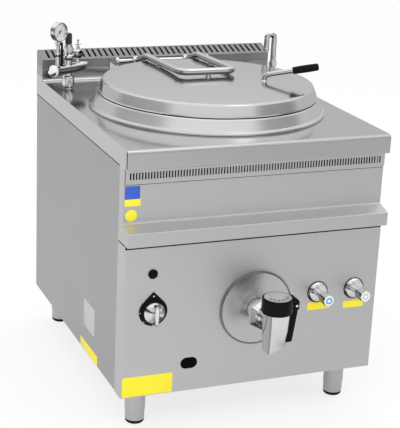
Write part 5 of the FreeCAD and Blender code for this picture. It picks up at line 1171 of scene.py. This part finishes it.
def legs():
    """Round legs with a narrower lower sleeve, and black shoes."""
    shells = []
    for name in ("front_left", "front_right", "rear_left", "rear_right"):
        node = "levelling_foot_" + name
        x, y, _ = middle(node)
        top = 121 * MM
        tube = rounded([(10.1 * MM, 10.3 * MM), (28.6 * MM, 10.3 * MM), (28.6 * MM, 40 * MM),
                        (30 * MM, 41 * MM), (30 * MM, top), (10.1 * MM, top),
                        (10.1 * MM, 10.3 * MM)], mm(2.5, 0.4, 0.8, 0.3, 0), 6)
        shells.append(lathe(tube, (x, y, 0), segments=72))
        shoe = rounded(mm((0, 0), (24, 0), (27.6, 4), (27.6, 10), (10, 10), (10, 62), (0, 62)),
                       mm(2, 2, 0.8, 0, 0.5), 5)
        piece("foot_shoe_" + name, [lathe(shoe, (x, y, 0), segments=64)], black_rubber, "cabinet",
              [node])
    piece("leg_tubes", shells, steel_leg, "cabinet", ["foot_legs"])


# Blank labels

def label_outline(left, low, right, high):
    """Outline of a label with rounded corners, from its sides in millimetres."""
    corners = mm((left, low), (right, low), (right, high), (left, high))
    return closed_rounded(corners, [1.5 * MM] * 4, 5)


def labels():
    """Blank films where the product carries its printed ones. Those on the left side are measured
    towards the front from a line 470 mm behind the console's face."""
    proud = 0.05 * MM
    front = (0, panel_y + proud, 0), RIGHT
    upper = (0, upper_panel_y + proud, 0), RIGHT
    side = (-cabinet_x + proud, console_low[1] + 470 * MM, 0), FRONT
    for name, outline, face, colour in (
        ("label_low_yellow", label_outline(-396, 120, -244, 181), front, label_yellow),
        ("label_blue", label_outline(-396, 705, -352, 742), upper, label_blue),
        ("label_yellow_strip", label_outline(-396, 685, -350, 704.2), upper, label_yellow),
        ("label_round", ring(17 * MM, 48) + mm(-376, 658), upper, label_yellow),
        ("label_tap_left", label_outline(174, 325, 247, 349), front, label_yellow),
        ("label_tap_right", label_outline(293, 319, 360, 341), front, label_yellow),
        ("label_side_plate", label_outline(81, 201, 188, 288), side, label_silver),
        ("label_side_yellow", label_outline(50, 122, 221, 152), side, label_yellow),
    ):
        piece(name, [slab(outline, *face, UP, 0.25 * MM, 0.1 * MM)], colour, "cabinet")


# Stage, light and camera

def stage_floor():
    """Pale floor: mostly white to the camera with the object's own shadow kept in it, and a tone
    that fades towards the right in mirrors."""
    material = bpy.data.materials.new("stage_floor")
    material.use_nodes = True
    tree = material.node_tree
    shader = tree.nodes["Principled BSDF"]
    shader.inputs["Base Color"].default_value = (0.92, 0.92, 0.92, 1)
    shader.inputs["Roughness"].default_value = 0.9
    glow = tree.nodes.new("ShaderNodeEmission")
    glow.inputs["Color"].default_value = (1, 1, 1, 1)
    mix = tree.nodes.new("ShaderNodeMixShader")
    path = tree.nodes.new("ShaderNodeLightPath")
    white_share, mirror_share = 0.78, 0.70
    seen = maths(tree, "MULTIPLY", path.outputs["Is Camera Ray"], white_share)
    link(tree, seen, mix.inputs[0])
    link(tree, shader.outputs[0], mix.inputs[1])
    link(tree, glow.outputs[0], mix.inputs[2])
    mirrored = tree.nodes.new("ShaderNodeMixShader")
    dim = tree.nodes.new("ShaderNodeEmission")
    split = tree.nodes.new("ShaderNodeSeparateXYZ")
    link(tree, tree.nodes.new("ShaderNodeTexCoord").outputs["Object"], split.inputs[0])
    along = maths(tree, "ADD", maths(tree, "MULTIPLY", split.outputs["X"], 0.25), 0.5)
    tones = ramp(tree, along, ((0.2, 0.66), (0.42, 0.66), (0.55, 0.56), (0.85, 0.36)))
    link(tree, tones, dim.inputs["Color"])
    reflected = maths(tree, "MULTIPLY", path.outputs["Is Glossy Ray"], mirror_share)
    link(tree, reflected, mirrored.inputs[0])
    link(tree, mix.outputs[0], mirrored.inputs[1])
    link(tree, dim.outputs[0], mirrored.inputs[2])
    link(tree, mirrored.outputs[0], tree.nodes["Material Output"].inputs["Surface"])
    mesh = bpy.data.meshes.new("stage_floor")
    size = 14.0
    corners = [(-size, -size, 0), (size, -size, 0), (size, size, 0), (-size, size, 0)]
    mesh.from_pydata(corners, [], [(0, 1, 2, 3)])
    mesh.materials.append(material)
    floor = bpy.data.objects.new("stage_floor", mesh)
    bpy.context.scene.collection.objects.link(floor)


def facing(tree, direction, toward, low, high):
    """Soft mask of the world directions that lie near one direction."""
    node = tree.nodes.new("ShaderNodeVectorMath")
    node.operation = "DOT_PRODUCT"
    link(tree, direction, node.inputs[0])
    node.inputs[1].default_value = Vector(toward).normalized()
    soft = range_of(tree, node.outputs["Value"], 0.0, 1.0)
    soft.node.interpolation_type = "SMOOTHSTEP"
    soft.node.inputs["From Min"].default_value = low
    soft.node.inputs["From Max"].default_value = high
    return soft


def studio_world():
    """White backdrop to the camera; mirrors see a bright zenith, a softbox and two darker sides."""
    world = bpy.data.worlds.new("studio")
    bpy.context.scene.world = world
    world.use_nodes = True
    tree = world.node_tree
    background = tree.nodes["Background"]
    path = tree.nodes.new("ShaderNodeLightPath")
    place = tree.nodes.new("ShaderNodeTexCoord").outputs["Generated"]
    split = tree.nodes.new("ShaderNodeSeparateXYZ")
    link(tree, place, split.inputs[0])
    level = ramp(tree, split.outputs["Z"], (
        (0.0, 0.56), (0.16, 0.58), (0.32, 0.66), (0.50, 0.80), (0.80, 0.95), (1.0, 0.98)))
    for toward, low, high, depth in (
        ((-0.98, 0.10, 0.30), 0.78, 0.93, 0.40),
        ((0.85, -0.50, 0.35), 0.85, 0.97, 0.48),
    ):
        shade = maths(tree, "MULTIPLY", facing(tree, place, toward, low, high), depth)
        level = maths(tree, "MULTIPLY", level, maths(tree, "SUBTRACT", 1.0, shade))
    softbox = facing(tree, place, (0.28, -0.20, 0.94), 0.984, 0.993)
    level = maths(tree, "ADD", level, softbox)
    shown = tree.nodes.new("ShaderNodeMix")
    link(tree, path.outputs["Is Glossy Ray"], shown.inputs[0])
    shown.inputs[2].default_value = 1.0
    link(tree, level, shown.inputs[3])
    link(tree, shown.outputs[0], background.inputs["Color"])
    background.inputs["Strength"].default_value = 1.0


def lamp(name, place, target, size, power):
    """Area lamp turned towards a target, unseen by the camera and by mirrors."""
    data = bpy.data.lights.new(name, "AREA")
    data.shape = "RECTANGLE"
    data.size, data.size_y = size
    data.energy = power
    obj = bpy.data.objects.new(name, data)
    bpy.context.scene.collection.objects.link(obj)
    obj.location = place
    obj.rotation_euler = (Vector(target) - Vector(place)).to_track_quat("-Z", "Y").to_euler()
    obj.visible_camera = False
    obj.visible_glossy = False


def studio_lamps():
    """Key, fill and top lamps at a plain level."""
    lamp("key_lamp", (-2.6, -3.0, 3.4), (0, 0, 0.5), (2.2, 1.6), 45)
    lamp("fill_lamp", (3.2, -2.6, 2.2), (0, 0, 0.5), (2.0, 2.0), 22)
    lamp("top_lamp", (0.2, 1.2, 3.6), (0, 0, 0.8), (2.4, 1.2), 25)


def camera():
    """Camera at the photograph's viewing angle: yaw, pitch and roll about the measured eye."""
    eye = np.array([-1.49347, -3.51462, 1.77669])
    yaw, pitch, roll = math.radians(22.63), math.radians(18.23), math.radians(2.66)
    focal = 1296.38
    photo_height = 428
    level = math.cos(pitch)
    ahead = np.array([math.sin(yaw) * level, math.cos(yaw) * level, -math.sin(pitch)])
    right = np.array([math.cos(yaw), -math.sin(yaw), 0.0])
    up = np.cross(right, ahead)
    turned_right = right * math.cos(roll) + up * math.sin(roll)
    turned_up = -right * math.sin(roll) + up * math.cos(roll)
    data = bpy.data.cameras.new("photo_camera")
    data.sensor_width = 36
    data.lens = focal * data.sensor_width / photo_height
    data.clip_start, data.clip_end = 0.05, 60
    obj = bpy.data.objects.new("photo_camera", data)
    bpy.context.scene.collection.objects.link(obj)
    turn = Matrix((turned_right, turned_up, -ahead)).transposed()
    obj.matrix_world = Matrix.Translation(Vector(eye)) @ turn.to_4x4()
    bpy.context.scene.camera = obj


for make in (kept_nodes, lid, collar, lid_arm, lid_lever, hinge, drain_cover, drain_tap, tap_cap,
             tap_disc, tap_lever, gas_knob, view_glass, painted_shadow_strips, igniter, water_taps, filling_spout,
             spout_base, manifold, gauge, gauge_stem, safety_valve, vent_handle, legs, labels,
             stage_floor, studio_world, studio_lamps, camera):
    make()
bpy.context.scene.view_settings.view_transform = "Standard"
